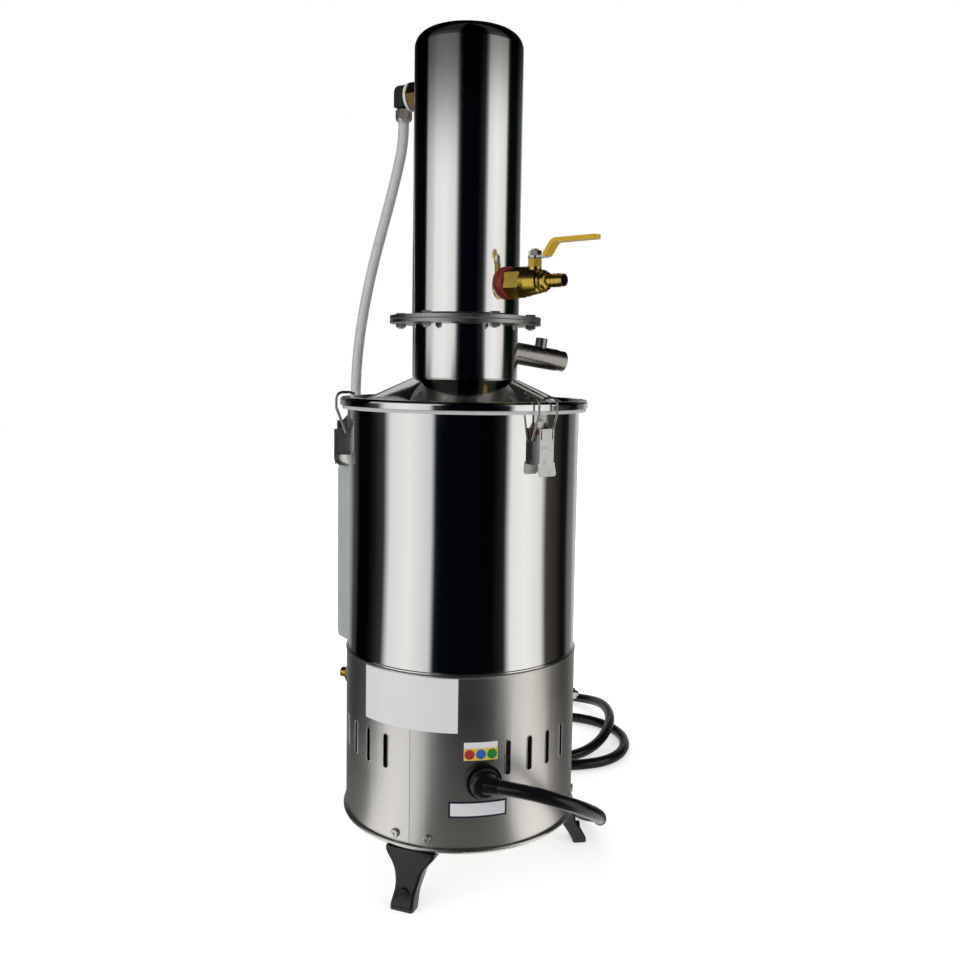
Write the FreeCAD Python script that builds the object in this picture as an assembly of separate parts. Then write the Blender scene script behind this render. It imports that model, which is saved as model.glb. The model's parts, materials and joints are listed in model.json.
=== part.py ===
import FreeCAD, Part
import math
import os

# Bench water distiller: a round boiler on three feet, with a clamped lid that carries a tall
# condenser. All sizes are in millimetres. The origin is on the boiler's axis at bench level,
# +Z is up, and an azimuth of 0 faces -Y and grows towards +X.

os.makedirs("parts", exist_ok=True)
Vector = FreeCAD.Vector
Precision = FreeCAD.Base.Precision
origin = Vector(0, 0, 0)
upwards = Vector(0, 0, 1)
rightwards = Vector(1, 0, 0)
facing = Vector(0, -1, 0)

# Driving sizes of the boiler and its base
pot_radius = 106.4
sheet = 1.0
foot_height = 47.0
housing_height = 154.6
housing_gap = 0.3
bead_radius = 2.5
pot_overlap = 16.0
pot_rise = 222.2
pot_corner = 8.0

# Driving sizes of the lid, the neck and the condenser
lid_reach = 7.9
lid_rise = 22.9
neck_radius = 48.6
neck_height = 49.0
flange_reach = 20.9
flange_plate = 3.0
flange_seal = 1.0
condenser_radius = 49.2
condenser_height = 254.2
condenser_corner = 14.0

# Fits that many pieces share
clearance = 0.1
running_clearance = 0.08
embed = 1.0
overrun = 5.0

# Levels and radii that follow from them
housing_radius = pot_radius + housing_gap + sheet
housing_low = foot_height + 2 * bead_radius
seam_level = foot_height + housing_height
pot_low = seam_level - pot_overlap
gasket_low = seam_level + pot_rise
flange_radius = neck_radius + flange_reach


def azimuth_direction(azimuth):
    angle = math.radians(azimuth)
    return Vector(math.sin(angle), -math.cos(angle), 0)


def front(radius, height, across=0):
    """A point that faces azimuth 0, at a radius and a height, set off sideways."""
    return Vector(across, -radius, height)


def turned_to(shape, azimuth):
    """A copy of a shape modelled facing azimuth 0, turned round the boiler's axis."""
    copy = shape.copy()
    copy.rotate(origin, upwards, azimuth)
    return copy


def disc(radius, low, high):
    return Part.makeCylinder(radius, high - low, Vector(0, 0, low))


def ring(outer, inner, low, high):
    return disc(outer, low, high).cut(disc(inner, low - overrun, high + overrun))


def bar(start, end, radius):
    along = end - start
    return Part.makeCylinder(radius, along.Length, start, along)


def tube(start, end, outer, inner):
    return bar(start, end, outer).cut(bar(start, end, inner))


def block(low, high):
    size = high - low
    return Part.makeBox(size.x, size.y, size.z, low)


def hexagon(start, end, across_flats, sideways):
    """A hexagonal prism from start to end, with a corner towards sideways."""
    along = end - start
    corner = Vector(sideways)
    corner.normalize()
    corner = corner * (across_flats / math.sqrt(3))
    third = Vector(along)
    third.normalize()
    points = []
    for step in range(7):
        turn = FreeCAD.Rotation(third, 60 * step)
        points.append(start + turn.multVec(corner))
    return Part.Face(Part.makePolygon(points)).extrude(along)


def lathe(profile, start, towards):
    """Turn a profile of (station, radius) pairs round the line from start towards a point."""
    along = towards - start
    along.normalize()
    points = [Vector(radius, 0, station) for station, radius in profile]
    closed = [Vector(0, 0, profile[0][0])] + points + [Vector(0, 0, profile[-1][0])]
    face = Part.Face(Part.makePolygon(closed + [closed[0]]))
    solid = face.revolve(origin, upwards, 360)
    solid.Placement = FreeCAD.Placement(start, FreeCAD.Rotation(upwards, along))
    return solid


def revolved(points):
    """Turn a closed outline of (radius, height) pairs round the boiler's axis."""
    outline = [Vector(radius, 0, height) for radius, height in points]
    face = Part.Face(Part.makePolygon(outline + [outline[0]]))
    return face.revolve(origin, upwards, 360)


def rounded_path(points, radii):
    """Straight runs through the points, with a tangent arc of its own radius at each corner."""
    edges = []
    last = points[0]
    for before, corner, after, radius in zip(points, points[1:], points[2:], radii):
        back = before - corner
        back.normalize()
        ahead = after - corner
        ahead.normalize()
        half_turn = (math.pi - back.getAngle(ahead)) / 2
        setback = radius * math.tan(half_turn)
        inward = back + ahead
        inward.normalize()
        depth = radius / math.cos(half_turn) - radius
        arc_start = corner + back * setback
        arc_end = corner + ahead * setback
        edges.append(Part.LineSegment(last, arc_start).toShape())
        edges.append(Part.Arc(arc_start, corner + inward * depth, arc_end).toShape())
        last = arc_end
    edges.append(Part.LineSegment(last, points[-1]).toShape())
    return Part.Wire(edges)


def thickened(path, outward, thickness):
    """The band beside a flat path: on its left for a positive thickness, where outward
    points right and +Z up, and on its right for a negative one."""
    edge = path.Edges[0]
    middle = (edge.FirstParameter + edge.LastParameter) / 2
    tangent = edge.tangentAt(middle)
    left = Vector(0, 0, tangent.dot(outward)) - outward * tangent.z
    probe = edge.valueAt(middle) + left * (thickness / 2)
    face = path.makeOffset2D(thickness, 0, True, True)
    if not face.isInside(probe, Precision.confusion(), True):
        face = path.makeOffset2D(-thickness, 0, True, True)
    return face


def sheet_of_revolution(points, radii, thickness):
    """A sheet bent along (radius, height) points and turned round the boiler's axis."""
    path = rounded_path([Vector(radius, 0, height) for radius, height in points], radii)
    face = thickened(path, rightwards, thickness)
    return face.revolve(origin, upwards, 360)


def bent_strip(points, radii, thickness, width):
    """A flat strip that faces azimuth 0, bent along (radius, height) points."""
    path = rounded_path([front(radius, height) for radius, height in points], radii)
    face = thickened(path, facing, thickness)
    face.translate(rightwards * (-width / 2))
    return face.extrude(rightwards * width)


def round_tube(path, radius):
    """A solid round bar along a path."""
    start = path.Edges[0]
    tangent = start.tangentAt(start.FirstParameter)
    circle = Part.Wire(Part.makeCircle(radius, start.valueAt(start.FirstParameter), tangent))
    return path.makePipeShell([circle], True, False)


def side_hole(radius, azimuth, height, inner, outer):
    return turned_to(bar(front(inner, height), front(outer, height), radius), azimuth)


def fused(shapes):
    return shapes[0].fuse(shapes[1:]).removeSplitter()


def save(name, shapes):
    """Write one node, made of one solid or of several separate ones."""
    solids = shapes if isinstance(shapes, list) else [shapes]
    shape = solids[0] if len(solids) == 1 else Part.makeCompound(solids)
    shape.exportStep("parts/" + name + ".step")
    print(name, len(shape.Solids), "solids,", round(shape.Volume), "mm3, valid", shape.isValid())


# Pan-head screws with a cross recess, used on the base and on the control box
screw_head_radius = 4.0
screw_head_height = 2.4
screw_shank_radius = 2.0
screw_length = 8.0
recess_width = 0.9
recess_depth = 1.3
recess_share = 0.62
screw_crown_share = 0.6
screw_hole_radius = screw_shank_radius + clearance


def pan_screw(seat, outward):
    """A screw whose head stands on the seat point and whose shank goes the other way."""
    along = Vector(outward)
    along.normalize()
    head = Part.makeCylinder(screw_head_radius, screw_head_height)
    top_edge = [e for e in head.Edges if e.BoundBox.ZMin > screw_head_height / 2]
    head = head.makeFillet(screw_head_height * screw_crown_share, top_edge)
    reach = screw_head_radius * recess_share
    for long_way in (True, False):
        half_x = reach if long_way else recess_width / 2
        half_y = recess_width / 2 if long_way else reach
        low = Vector(-half_x, -half_y, screw_head_height - recess_depth)
        high = Vector(half_x, half_y, screw_head_height + overrun)
        head = head.cut(block(low, high))
    shank = Part.makeCylinder(screw_shank_radius, screw_length, Vector(0, 0, -screw_length))
    screw = head.fuse(shank)
    screw.Placement = FreeCAD.Placement(seat, FreeCAD.Rotation(upwards, along))
    return screw


# Base housing: a rolled shell with slots, holes for its fittings and a vertical lap joint
slot_count = 4
slot_pitch_angle = 11.6
slot_group_azimuths = (-54.0, 40.2, 134.0, -148.0)
slot_width = 5.3
slot_height = 31.0
slot_centre_drop = 72.1
slot_level = seam_level - slot_centre_drop
foot_azimuths = (-22.5, 97.5, 217.5)
side_screw_angle = 16.0
side_screw_lift = 11.5
side_screw_level = foot_height + side_screw_lift
lap_azimuth = -23.2
lap_width = 0.5
lap_depth = 0.4
lip_radius = 1.1
lip_inset = 0.5


def side_screw_azimuths():
    return [foot + side * side_screw_angle / 2 for foot in foot_azimuths for side in (-1, 1)]


def slot_cutter():
    half = slot_height / 2 - slot_width / 2
    near = housing_radius + overrun
    far = housing_radius - overrun
    middle = block(
        Vector(-slot_width / 2, -near, slot_level - half),
        Vector(slot_width / 2, -far, slot_level + half),
    )
    ends = [bar(front(near, slot_level + s * half), front(far, slot_level + s * half),
                slot_width / 2) for s in (-1, 1)]
    return middle.fuse(ends)


# Fittings on the base: where the cable gland, drain, earth stud and wiring conduit pass
gland_azimuth = 11.1
gland_drop = 90.0
gland_level = seam_level - gland_drop
gland_shank_radius = 9.0
drain_azimuth = -119.5
drain_drop = 51.6
drain_level = seam_level - drain_drop
drain_pipe_radius = 6.0
earth_azimuth = 106.0
earth_drop = 61.0
earth_level = seam_level - earth_drop
earth_stud_radius = 3.0
box_azimuth = -149.1
conduit_radius = 6.0
conduit_drop = 41.6
conduit_level = seam_level - conduit_drop


def make_base_housing():
    shell = ring(housing_radius, housing_radius - sheet, housing_low, seam_level)
    lip = Part.makeTorus(housing_radius - lip_inset, lip_radius, Vector(0, 0, seam_level))
    shell = shell.fuse(lip.cut(disc(housing_radius - sheet, housing_low, seam_level + overrun)))
    inner = housing_radius - overrun
    outer = housing_radius + overrun
    for group in slot_group_azimuths:
        for index in range(slot_count):
            offset = (index - (slot_count - 1) / 2) * slot_pitch_angle
            shell = shell.cut(turned_to(slot_cutter(), group + offset))
    for azimuth in side_screw_azimuths():
        shell = shell.cut(side_hole(screw_hole_radius, azimuth, side_screw_level, inner, outer))
    for radius, azimuth, level in (
        (gland_shank_radius + clearance, gland_azimuth, gland_level),
        (drain_pipe_radius + clearance, drain_azimuth, drain_level),
        (earth_stud_radius + clearance, earth_azimuth, earth_level),
        (conduit_radius + clearance, box_azimuth, conduit_level),
    ):
        shell = shell.cut(side_hole(radius, azimuth, level, inner, outer))
    groove = block(
        Vector(-lap_width / 2, -outer, housing_low - overrun),
        Vector(lap_width / 2, -(housing_radius - lap_depth), seam_level + overrun),
    )
    return shell.cut(turned_to(groove, lap_azimuth))


# Base plate: a pan with a rolled bead at its edge and a rim inside the housing
rim_height = 20.0
foot_screw_inset = 7.9
foot_screw_radius = housing_radius - foot_screw_inset
foot_screw_spread = 26.0


def foot_screw_points(height):
    return [front(foot_screw_radius, height, side * foot_screw_spread / 2) for side in (-1, 1)]


def make_base_plate():
    plate = disc(housing_radius, foot_height, foot_height + sheet)
    rim_radius = housing_radius - sheet - clearance
    rim = ring(rim_radius, rim_radius - sheet, foot_height, foot_height + rim_height)
    bead = Part.makeTorus(housing_radius + clearance, bead_radius,
                          Vector(0, 0, foot_height + bead_radius))
    plate = plate.fuse([rim, bead])
    for azimuth in side_screw_azimuths():
        plate = plate.cut(side_hole(screw_hole_radius, azimuth, side_screw_level,
                                    rim_radius - overrun, rim_radius + clearance / 2))
    for azimuth in foot_azimuths:
        for low in foot_screw_points(foot_height - overrun):
            high = low + upwards * (2 * overrun)
            plate = plate.cut(turned_to(bar(low, high, screw_hole_radius), azimuth))
    return plate


def make_base_screws():
    screws = []
    for azimuth in side_screw_azimuths():
        seat = front(housing_radius, side_screw_level)
        screws.append(turned_to(pan_screw(seat, facing), azimuth))
    for azimuth in foot_azimuths:
        for seat in foot_screw_points(foot_height + sheet):
            screws.append(turned_to(pan_screw(seat, upwards), azimuth))
    return screws


# Feet: moulded legs, wide under the bead, narrow at the waist, with a toe that kicks out
foot_top_width = 46.0
foot_waist_width = 19.5
foot_depth = 15.0
foot_toe_reach = 15.5
foot_corner = 2.5
foot_top_radius = housing_radius + bead_radius
foot_boss_radius = 4.5
foot_boss_height = 0.6
foot_boss_level_share = 0.27
# Each row: height, width between waist and top, depth, and toe reach, as shares
foot_shares = (
    (1.00, 1.00, 1.10, 0.00),
    (0.91, 1.00, 1.10, 0.00),
    (0.81, 0.74, 1.05, 0.06),
    (0.62, 0.28, 1.00, 0.20),
    (0.42, 0.09, 0.95, 0.36),
    (0.28, 0.02, 0.95, 0.62),
    (0.14, 0.06, 0.95, 0.90),
    (0.05, 0.08, 0.92, 1.00),
    (0.00, 0.07, 0.88, 1.00),
)


def foot_section(height_share, width_share, depth_share, reach_share):
    half = (foot_waist_width + width_share * (foot_top_width - foot_waist_width)) / 2
    outer = foot_top_radius + reach_share * foot_toe_reach
    inner = outer - depth_share * foot_depth
    level = height_share * foot_height
    corners = [front(outer, level, -half), front(outer, level, half),
               front(inner, level, half), front(inner, level, -half)]
    start = (corners[0] + corners[1]) * 0.5
    path = rounded_path([start] + corners[1:] + [corners[0], start], [foot_corner] * 4)
    return path


def make_feet():
    leg = Part.makeLoft([foot_section(*row) for row in foot_shares], True, False)
    boss_row = foot_shares[5]
    boss_level = foot_height * foot_boss_level_share
    boss_radius = foot_top_radius + boss_row[3] * foot_toe_reach
    boss = bar(front(boss_radius - foot_depth / 2, boss_level),
               front(boss_radius + foot_boss_height, boss_level), foot_boss_radius)
    leg = leg.fuse(boss)
    for low in foot_screw_points(foot_height - screw_length - clearance):
        high = Vector(low.x, low.y, foot_height + overrun)
        leg = leg.cut(bar(low, high, screw_hole_radius))
    return [turned_to(leg, azimuth) for azimuth in foot_azimuths]


# Boiler pot, its gasket and the flange on its rim
gasket_height = 4.6
gasket_reach = 6.2
gasket_lip = 1.8
pot_flange_reach = 4.4
pot_flange_level = gasket_low + gasket_lip
pot_flange_bend = 1.5
heater_count = 3
heater_azimuth = 30.0
heater_radius = 4.0
heater_circle = 45.0
heater_spacing = 24.0
heater_rise = 110.0
heater_tail = 10.0
feed_pipe_radius = 5.0
cup_azimuth = -125.9
cup_drop_from_rim = 54.0
feed_level = gasket_low - cup_drop_from_rim
drain_inset = 20.0
drain_circle = pot_radius - drain_inset
drain_bore_radius = 4.5


def heater_leg_points(height):
    points = []
    for index in range(heater_count):
        azimuth = heater_azimuth + index * 360 / heater_count
        for side in (-1, 1):
            low = front(heater_circle, height, side * heater_spacing / 2)
            turn = FreeCAD.Rotation(upwards, azimuth)
            points.append(turn.multVec(low))
    return points


def make_boiler_pot():
    points = [(0, pot_low), (pot_radius, pot_low), (pot_radius, pot_flange_level),
              (pot_radius + pot_flange_reach, pot_flange_level)]
    pot = sheet_of_revolution(points, [pot_corner, pot_flange_bend], sheet)
    for low in heater_leg_points(pot_low - overrun):
        high = low + upwards * (2 * overrun)
        pot = pot.cut(bar(low, high, heater_radius + clearance))
    low = front(drain_circle, pot_low - overrun)
    drain = bar(low, low + upwards * (2 * overrun), drain_pipe_radius + clearance)
    pot = pot.cut(turned_to(drain, drain_azimuth))
    feed = side_hole(feed_pipe_radius + clearance, cup_azimuth, feed_level,
                     pot_radius - overrun, pot_radius + overrun)
    return pot.cut(feed)


def make_pot_gasket():
    outer = pot_radius + gasket_reach
    web = pot_radius + pot_flange_reach + clearance
    low_lip = pot_flange_level - clearance / 2
    high_lip = pot_flange_level + sheet + clearance / 2
    inside = pot_radius + pot_flange_bend + clearance
    top = gasket_low + gasket_height
    outline = [(inside, gasket_low), (outer, gasket_low), (outer, top),
               (pot_radius - sheet, top), (pot_radius - sheet, high_lip), (web, high_lip),
               (web, low_lip), (inside, low_lip)]
    return revolved(outline)


# Lid: a cone from the neck down to a flat ring, with a rolled bead round its rim
lid_ring_level = gasket_low + gasket_height + sheet
lid_joint_level = lid_ring_level + lid_rise
lid_collar = 10.0
lid_cone_inset = 12.5
lid_cone_foot = pot_radius - lid_cone_inset
lid_cone_lift = 1.6
lid_bead_radius = 3.1
lid_bead_height = 4.9
lid_bead_width = 7.4
lid_skirt_depth = 2.4
lid_bend = 2.0
lid_radius = pot_radius + lid_reach
neck_seat = 0.6


def make_lid():
    collar_radius = neck_radius - sheet - clearance
    bead_inside = lid_radius - lid_bead_width
    bead_top = lid_ring_level + lid_bead_height
    points = [
        (collar_radius, lid_joint_level + lid_collar),
        (collar_radius, lid_joint_level),
        (lid_cone_foot, lid_ring_level + lid_cone_lift),
        (lid_cone_foot + 2 * lid_cone_lift, lid_ring_level),
        (bead_inside, lid_ring_level),
        (bead_inside + lid_bend, bead_top),
        (lid_radius, bead_top),
        (lid_radius, lid_ring_level - lid_skirt_depth),
    ]
    radii = [lid_bend, lid_bend / 2, lid_bend / 2, lid_bend / 2, lid_bend / 2, lid_bead_radius]
    return sheet_of_revolution(points, radii, -sheet)


# Neck, the tray that gathers the distillate inside it, and the bolted flange pair
flange_low = lid_joint_level + neck_height
seal_low = flange_low + flange_plate
upper_low = seal_low + flange_seal
upper_high = upper_low + flange_plate
bolt_count = 6
bolt_azimuth = -35.0
bolt_inset = 9.5
bolt_circle = flange_radius - bolt_inset
bolt_radius = 2.5
bolt_play = 0.25
bolt_hole_radius = bolt_radius + bolt_play
bolt_head_flats = 8.0
bolt_head_height = 3.0
nut_height = 3.2
bolt_tail = 1.2
weld_width = 2.2
weld_height = 2.6
outlet_azimuth = 115.0
outlet_radius = 10.4
outlet_root_drop = 24.0
outlet_length = 56.4
outlet_fall = 7.8
outlet_reach = neck_radius + outlet_length
outlet_root = front(neck_radius, flange_low - outlet_root_drop)
outlet_end = front(outlet_reach, outlet_root.z - outlet_fall)
spigot_radius = 9.8
spigot_length = 8.0
vent_distance = 30.2
vent_radius = 5.6
vent_height = 7.8


def outlet_bar(radius, extra):
    """A bar along the sloping outlet, longer than it by an extra length at both ends."""
    along = outlet_end - outlet_root
    along.normalize()
    start = outlet_root - along * (outlet_radius + extra)
    return turned_to(bar(start, outlet_end + along * extra, radius), outlet_azimuth)


def make_condenser_neck():
    neck = ring(neck_radius, neck_radius - sheet, lid_joint_level + neck_seat, seal_low)
    return neck.cut(outlet_bar(outlet_radius + clearance, 0))


def make_outlet_pipe():
    along = outlet_end - outlet_root
    along.normalize()
    share = vent_distance / outlet_length
    vent_root = outlet_root + (outlet_end - outlet_root) * share
    upright = Vector(0, along.z, -along.y)
    vent_top = vent_root + upright * (outlet_radius + vent_height)
    vent = bar(vent_root, vent_top, vent_radius)
    vent_bore = bar(vent_root, vent_top + upright * overrun, vent_radius - sheet)
    start = outlet_root - along * outlet_radius
    spigot_start = outlet_end - along * spigot_length
    pipe = bar(start, spigot_start, outlet_radius)
    spigot = bar(spigot_start - along * embed, outlet_end, spigot_radius)
    pipe = pipe.fuse([spigot, vent])
    bore = bar(start, outlet_end + along * overrun, spigot_radius - sheet)
    pipe = pipe.cut(bore).cut(vent_bore)
    pipe = turned_to(pipe, outlet_azimuth)
    return pipe.cut(disc(neck_radius - sheet, lid_joint_level, upper_high))


tray_floor_drop = 35.3
tray_wall = 8.0
tray_fall = 0.5
tray_bend = 2.0
chimney_radius = 22.0
chimney_height = 21.0
cap_overhang = 9.0
cap_gap = 4.0
cap_rise = 6.0
cap_leg_radius = 1.2
cap_leg_count = 3


def make_distillate_tray():
    outer = neck_radius - sheet - clearance
    floor = flange_low - tray_floor_drop
    points = [(chimney_radius, floor + chimney_height), (chimney_radius, floor + tray_fall),
              (outer, floor), (outer, floor + tray_wall)]
    tray = sheet_of_revolution(points, [tray_bend, tray_bend], sheet)
    tray = tray.cut(outlet_bar(outlet_radius + clearance, 0))
    cap_low = floor + chimney_height + cap_gap
    cap_radius = chimney_radius + cap_overhang
    cap = revolved([(0, cap_low + cap_rise), (cap_radius, cap_low), (cap_radius, cap_low + sheet),
                    (0, cap_low + cap_rise + sheet)])
    legs = []
    for index in range(cap_leg_count):
        low = front(chimney_radius + sheet / 2, floor + chimney_height - overrun)
        high = front(chimney_radius + sheet / 2, cap_low + cap_rise / 2)
        legs.append(turned_to(bar(low, high, cap_leg_radius), index * 360 / cap_leg_count))
    return fused([tray, cap] + legs)


def bolt_points(height):
    places = []
    for index in range(bolt_count):
        turn = FreeCAD.Rotation(upwards, bolt_azimuth + index * 360 / bolt_count)
        places.append(turn.multVec(front(bolt_circle, height)))
    return places


def drilled_for_bolts(plate):
    for low in bolt_points(flange_low - overrun):
        high = Vector(low.x, low.y, upper_high + overrun)
        plate = plate.cut(bar(low, high, bolt_hole_radius))
    return plate


def make_lower_flange():
    return drilled_for_bolts(ring(flange_radius, neck_radius + clearance / 2,
                                  flange_low, seal_low))


def make_flange_gasket():
    return drilled_for_bolts(ring(flange_radius - sheet / 2, neck_radius - sheet,
                                  seal_low, upper_low))


def make_upper_flange():
    bore = condenser_radius + clearance / 2
    plate = ring(flange_radius, bore, upper_low, upper_high)
    weld = Part.makeCone(condenser_radius + weld_width, bore, weld_height,
                         Vector(0, 0, upper_high))
    weld = weld.cut(disc(bore, upper_high - overrun, upper_high + weld_height + overrun))
    return drilled_for_bolts(plate.fuse(weld))


def make_flange_bolts():
    pieces = []
    for seat in bolt_points(upper_high):
        outward = Vector(seat.x, seat.y, 0)
        head_top = seat + upwards * bolt_head_height
        tail = Vector(seat.x, seat.y, flange_low - nut_height - bolt_tail)
        head = hexagon(seat, head_top, bolt_head_flats, outward)
        pieces.append(head.fuse(bar(seat, tail, bolt_radius)))
        nut_top = Vector(seat.x, seat.y, flange_low)
        nut_low = nut_top - upwards * nut_height
        nut = hexagon(nut_low, nut_top, bolt_head_flats, outward)
        pieces.append(nut.cut(bar(nut_low, nut_top, bolt_radius + clearance / 2)))
    return pieces


# Condenser: a water jacket closed at the top, round a bundle of condensing tubes
inlet_azimuth = 48.0
inlet_height = 32.0
inlet_level = upper_low + inlet_height
nipple_radius = 8.0
nipple_bore = 6.0
nipple_reach = 12.2
nipple_tip = condenser_radius + nipple_reach
warm_azimuth = -120.0
warm_drop = 47.2
condenser_top = upper_low + condenser_height
warm_level = condenser_top - warm_drop
warm_nipple_radius = 6.0
warm_nipple_bore = 4.0
warm_nipple_reach = 15.6
warm_nipple_tip = condenser_radius + warm_nipple_reach
tube_count = 6
tube_circle = 26.0
tube_radius = 8.0
tube_wall = 0.8
header_gap = 2.0
header_radius = tube_circle + tube_radius + header_gap
header_drop = 71.0
header_height = 20.0
header_corner = 8.0
tube_plate = 3.0


def make_condenser_shell():
    points = [(condenser_radius, upper_low), (condenser_radius, condenser_top),
              (0, condenser_top)]
    shell = sheet_of_revolution(points, [condenser_corner], sheet)
    root = condenser_radius - overrun
    for azimuth, level, outer, inner, tip in (
        (inlet_azimuth, inlet_level, nipple_radius, nipple_bore, nipple_tip),
        (warm_azimuth, warm_level, warm_nipple_radius, warm_nipple_bore, warm_nipple_tip),
    ):
        nipple = bar(front(root, level), front(tip, level), outer)
        bore = bar(front(root - overrun, level), front(tip + overrun, level), inner)
        shell = shell.fuse(turned_to(nipple, azimuth)).cut(turned_to(bore, azimuth))
    return shell


def tube_points(height):
    places = [Vector(0, 0, height)]
    for index in range(tube_count):
        turn = FreeCAD.Rotation(upwards, index * 360 / tube_count)
        places.append(turn.multVec(front(tube_circle, height)))
    return places


header_low = condenser_top - header_drop


def drilled_for_tubes(plate, low, high):
    for place in tube_points(low - overrun):
        top = Vector(place.x, place.y, high + overrun)
        plate = plate.cut(bar(place, top, tube_radius + clearance / 2))
    return plate


def make_tube_plates():
    lower = disc(condenser_radius - sheet - clearance, upper_low, upper_low + tube_plate)
    upper = disc(header_radius, header_low - tube_plate, header_low)
    return [drilled_for_tubes(lower, upper_low, upper_low + tube_plate),
            drilled_for_tubes(upper, header_low - tube_plate, header_low)]


def make_condenser_tubes():
    return [tube(place, Vector(place.x, place.y, header_low), tube_radius,
                 tube_radius - tube_wall) for place in tube_points(upper_low)]


def make_steam_header():
    points = [(header_radius, header_low), (header_radius, header_low + header_height),
              (0, header_low + header_height)]
    return sheet_of_revolution(points, [header_corner], sheet)


# Water inlet: a ball valve with a hose tail, screwed on the condenser's lower nipple
washer_radius = 14.5
washer_depth = 4.5
washer_edge = 1.2
valve_start = condenser_radius + washer_depth
valve_flats = 24.0
valve_turn_angle = 7.0
valve_hex_length = 18.5
valve_chamfer = 1.4
valve_barrel_radius = 12.0
valve_end_radius = 10.4
valve_collar_radius = 12.7
valve_collar_length = 1.6
stem_distance = 26.1
stem_reach = valve_start + stem_distance
ball_radius = 7.5
ball_gap = 0.4
cavity_radius = ball_radius + ball_gap
valve_end_gap = 0.2
valve_end = stem_reach + cavity_radius + valve_end_gap
socket_depth = nipple_tip - valve_start + clearance
valve_bore = 5.0
ball_bore = 4.5
stem_radius = 3.0
stem_hole = stem_radius + running_clearance
stem_boss_radius = 5.8
stem_boss_height = 12.6
gland_flats = 11.0
gland_height = 6.8
handle_gap = 0.5
handle_thickness = 2.0
handle_nut_flats = 10.0
handle_nut_height = 4.6
stem_stub = 1.4
boss_top = inlet_level + stem_boss_height
gland_top = boss_top + gland_height
handle_level = gland_top + handle_gap
barb_length = 23.8
barb_collar_radius = 9.6
barb_collar_length = 2.6
barb_nose_radius = 7.6
barb_nose_length = 4.6
barb_root_radius = 5.5
barb_rib_radius = 6.0
barb_rib_count = 3
barb_tip_radius = 5.3
barb_nose_swell = 0.5
barb_shoulder = 1.0
rib_start_share = 0.5
rib_slope_share = 0.8
barb_bore = 4.4


def make_inlet_washer():
    saddle = bar(front(condenser_radius - overrun, inlet_level),
                 front(valve_start, inlet_level), washer_radius)
    rim = [e for e in saddle.Edges if e.BoundBox.YMax < -(valve_start - washer_edge)]
    saddle = saddle.makeFillet(washer_edge, rim)
    bore = bar(front(condenser_radius - 2 * overrun, inlet_level),
               front(valve_start + overrun, inlet_level), nipple_radius + clearance)
    saddle = turned_to(saddle.cut(bore), inlet_azimuth)
    return saddle.cut(disc(condenser_radius + clearance / 2, upper_low, condenser_top))


def valve_point(station):
    return front(valve_start + station, inlet_level)


def make_valve_body():
    length = valve_end - valve_start
    hex_corner = valve_flats / math.sqrt(3)
    blank = lathe([(0, hex_corner - valve_chamfer), (valve_chamfer, hex_corner),
                   (valve_hex_length - valve_chamfer, hex_corner),
                   (valve_hex_length, hex_corner - valve_chamfer)],
                  valve_point(0), valve_point(length))
    nut = hexagon(valve_point(0), valve_point(valve_hex_length), valve_flats, upwards)
    nut.rotate(valve_point(0), facing, -valve_turn_angle)
    collar_end = valve_hex_length + valve_collar_length
    barrel = lathe([(valve_hex_length - valve_chamfer, valve_collar_radius),
                    (collar_end, valve_collar_radius),
                    (collar_end + valve_chamfer, valve_barrel_radius),
                    (length - valve_chamfer, valve_end_radius),
                    (length, valve_end_radius - valve_chamfer)],
                   valve_point(0), valve_point(length))
    boss = bar(front(stem_reach, inlet_level), front(stem_reach, boss_top), stem_boss_radius)
    body = nut.common(blank).fuse([barrel, boss])
    socket = bar(valve_point(-overrun), valve_point(socket_depth), nipple_radius + clearance)
    bore = bar(valve_point(0), valve_point(length), valve_bore)
    cavity = bar(front(stem_reach - cavity_radius, inlet_level),
                 front(valve_end + overrun, inlet_level), cavity_radius)
    stem_way = bar(front(stem_reach, inlet_level), front(stem_reach, boss_top + overrun),
                   stem_hole)
    body = body.cut(socket).cut(bore).cut(cavity).cut(stem_way)
    return turned_to(body, inlet_azimuth)


def make_hose_barb():
    start = front(valve_end, inlet_level)
    end = front(valve_end + barb_length, inlet_level)
    ribs_start = barb_collar_length + barb_nose_length
    rib_pitch = (barb_length - ribs_start) / (barb_rib_count + 1)
    profile = [(0, barb_collar_radius), (barb_collar_length, barb_collar_radius),
               (barb_collar_length, barb_nose_radius + barb_nose_swell),
               (ribs_start - barb_shoulder, barb_nose_radius), (ribs_start, barb_root_radius)]
    for index in range(barb_rib_count):
        rib = ribs_start + (index + rib_start_share) * rib_pitch
        profile.append((rib, barb_rib_radius))
        profile.append((rib + rib_pitch * rib_slope_share, barb_root_radius))
    profile.append((barb_length, barb_tip_radius))
    barb = lathe(profile, start, end)
    bore = bar(start - facing * overrun, end + facing * overrun, barb_bore)
    return turned_to(barb.cut(bore), inlet_azimuth)


def make_valve_ball():
    centre = front(stem_reach, inlet_level)
    ball = Part.makeSphere(ball_radius, centre)
    bore = bar(front(stem_reach - 2 * ball_radius, inlet_level),
               front(stem_reach + 2 * ball_radius, inlet_level), ball_bore)
    return turned_to(ball.cut(bore), inlet_azimuth)


def make_valve_stem():
    top = handle_level + handle_thickness + handle_nut_height + stem_stub
    stem = bar(front(stem_reach, inlet_level), front(stem_reach, top), stem_radius)
    stem = stem.cut(Part.makeSphere(ball_radius, front(stem_reach, inlet_level)))
    stem = max(stem.Solids, key=lambda solid: solid.Volume)
    return turned_to(stem, inlet_azimuth)


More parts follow.
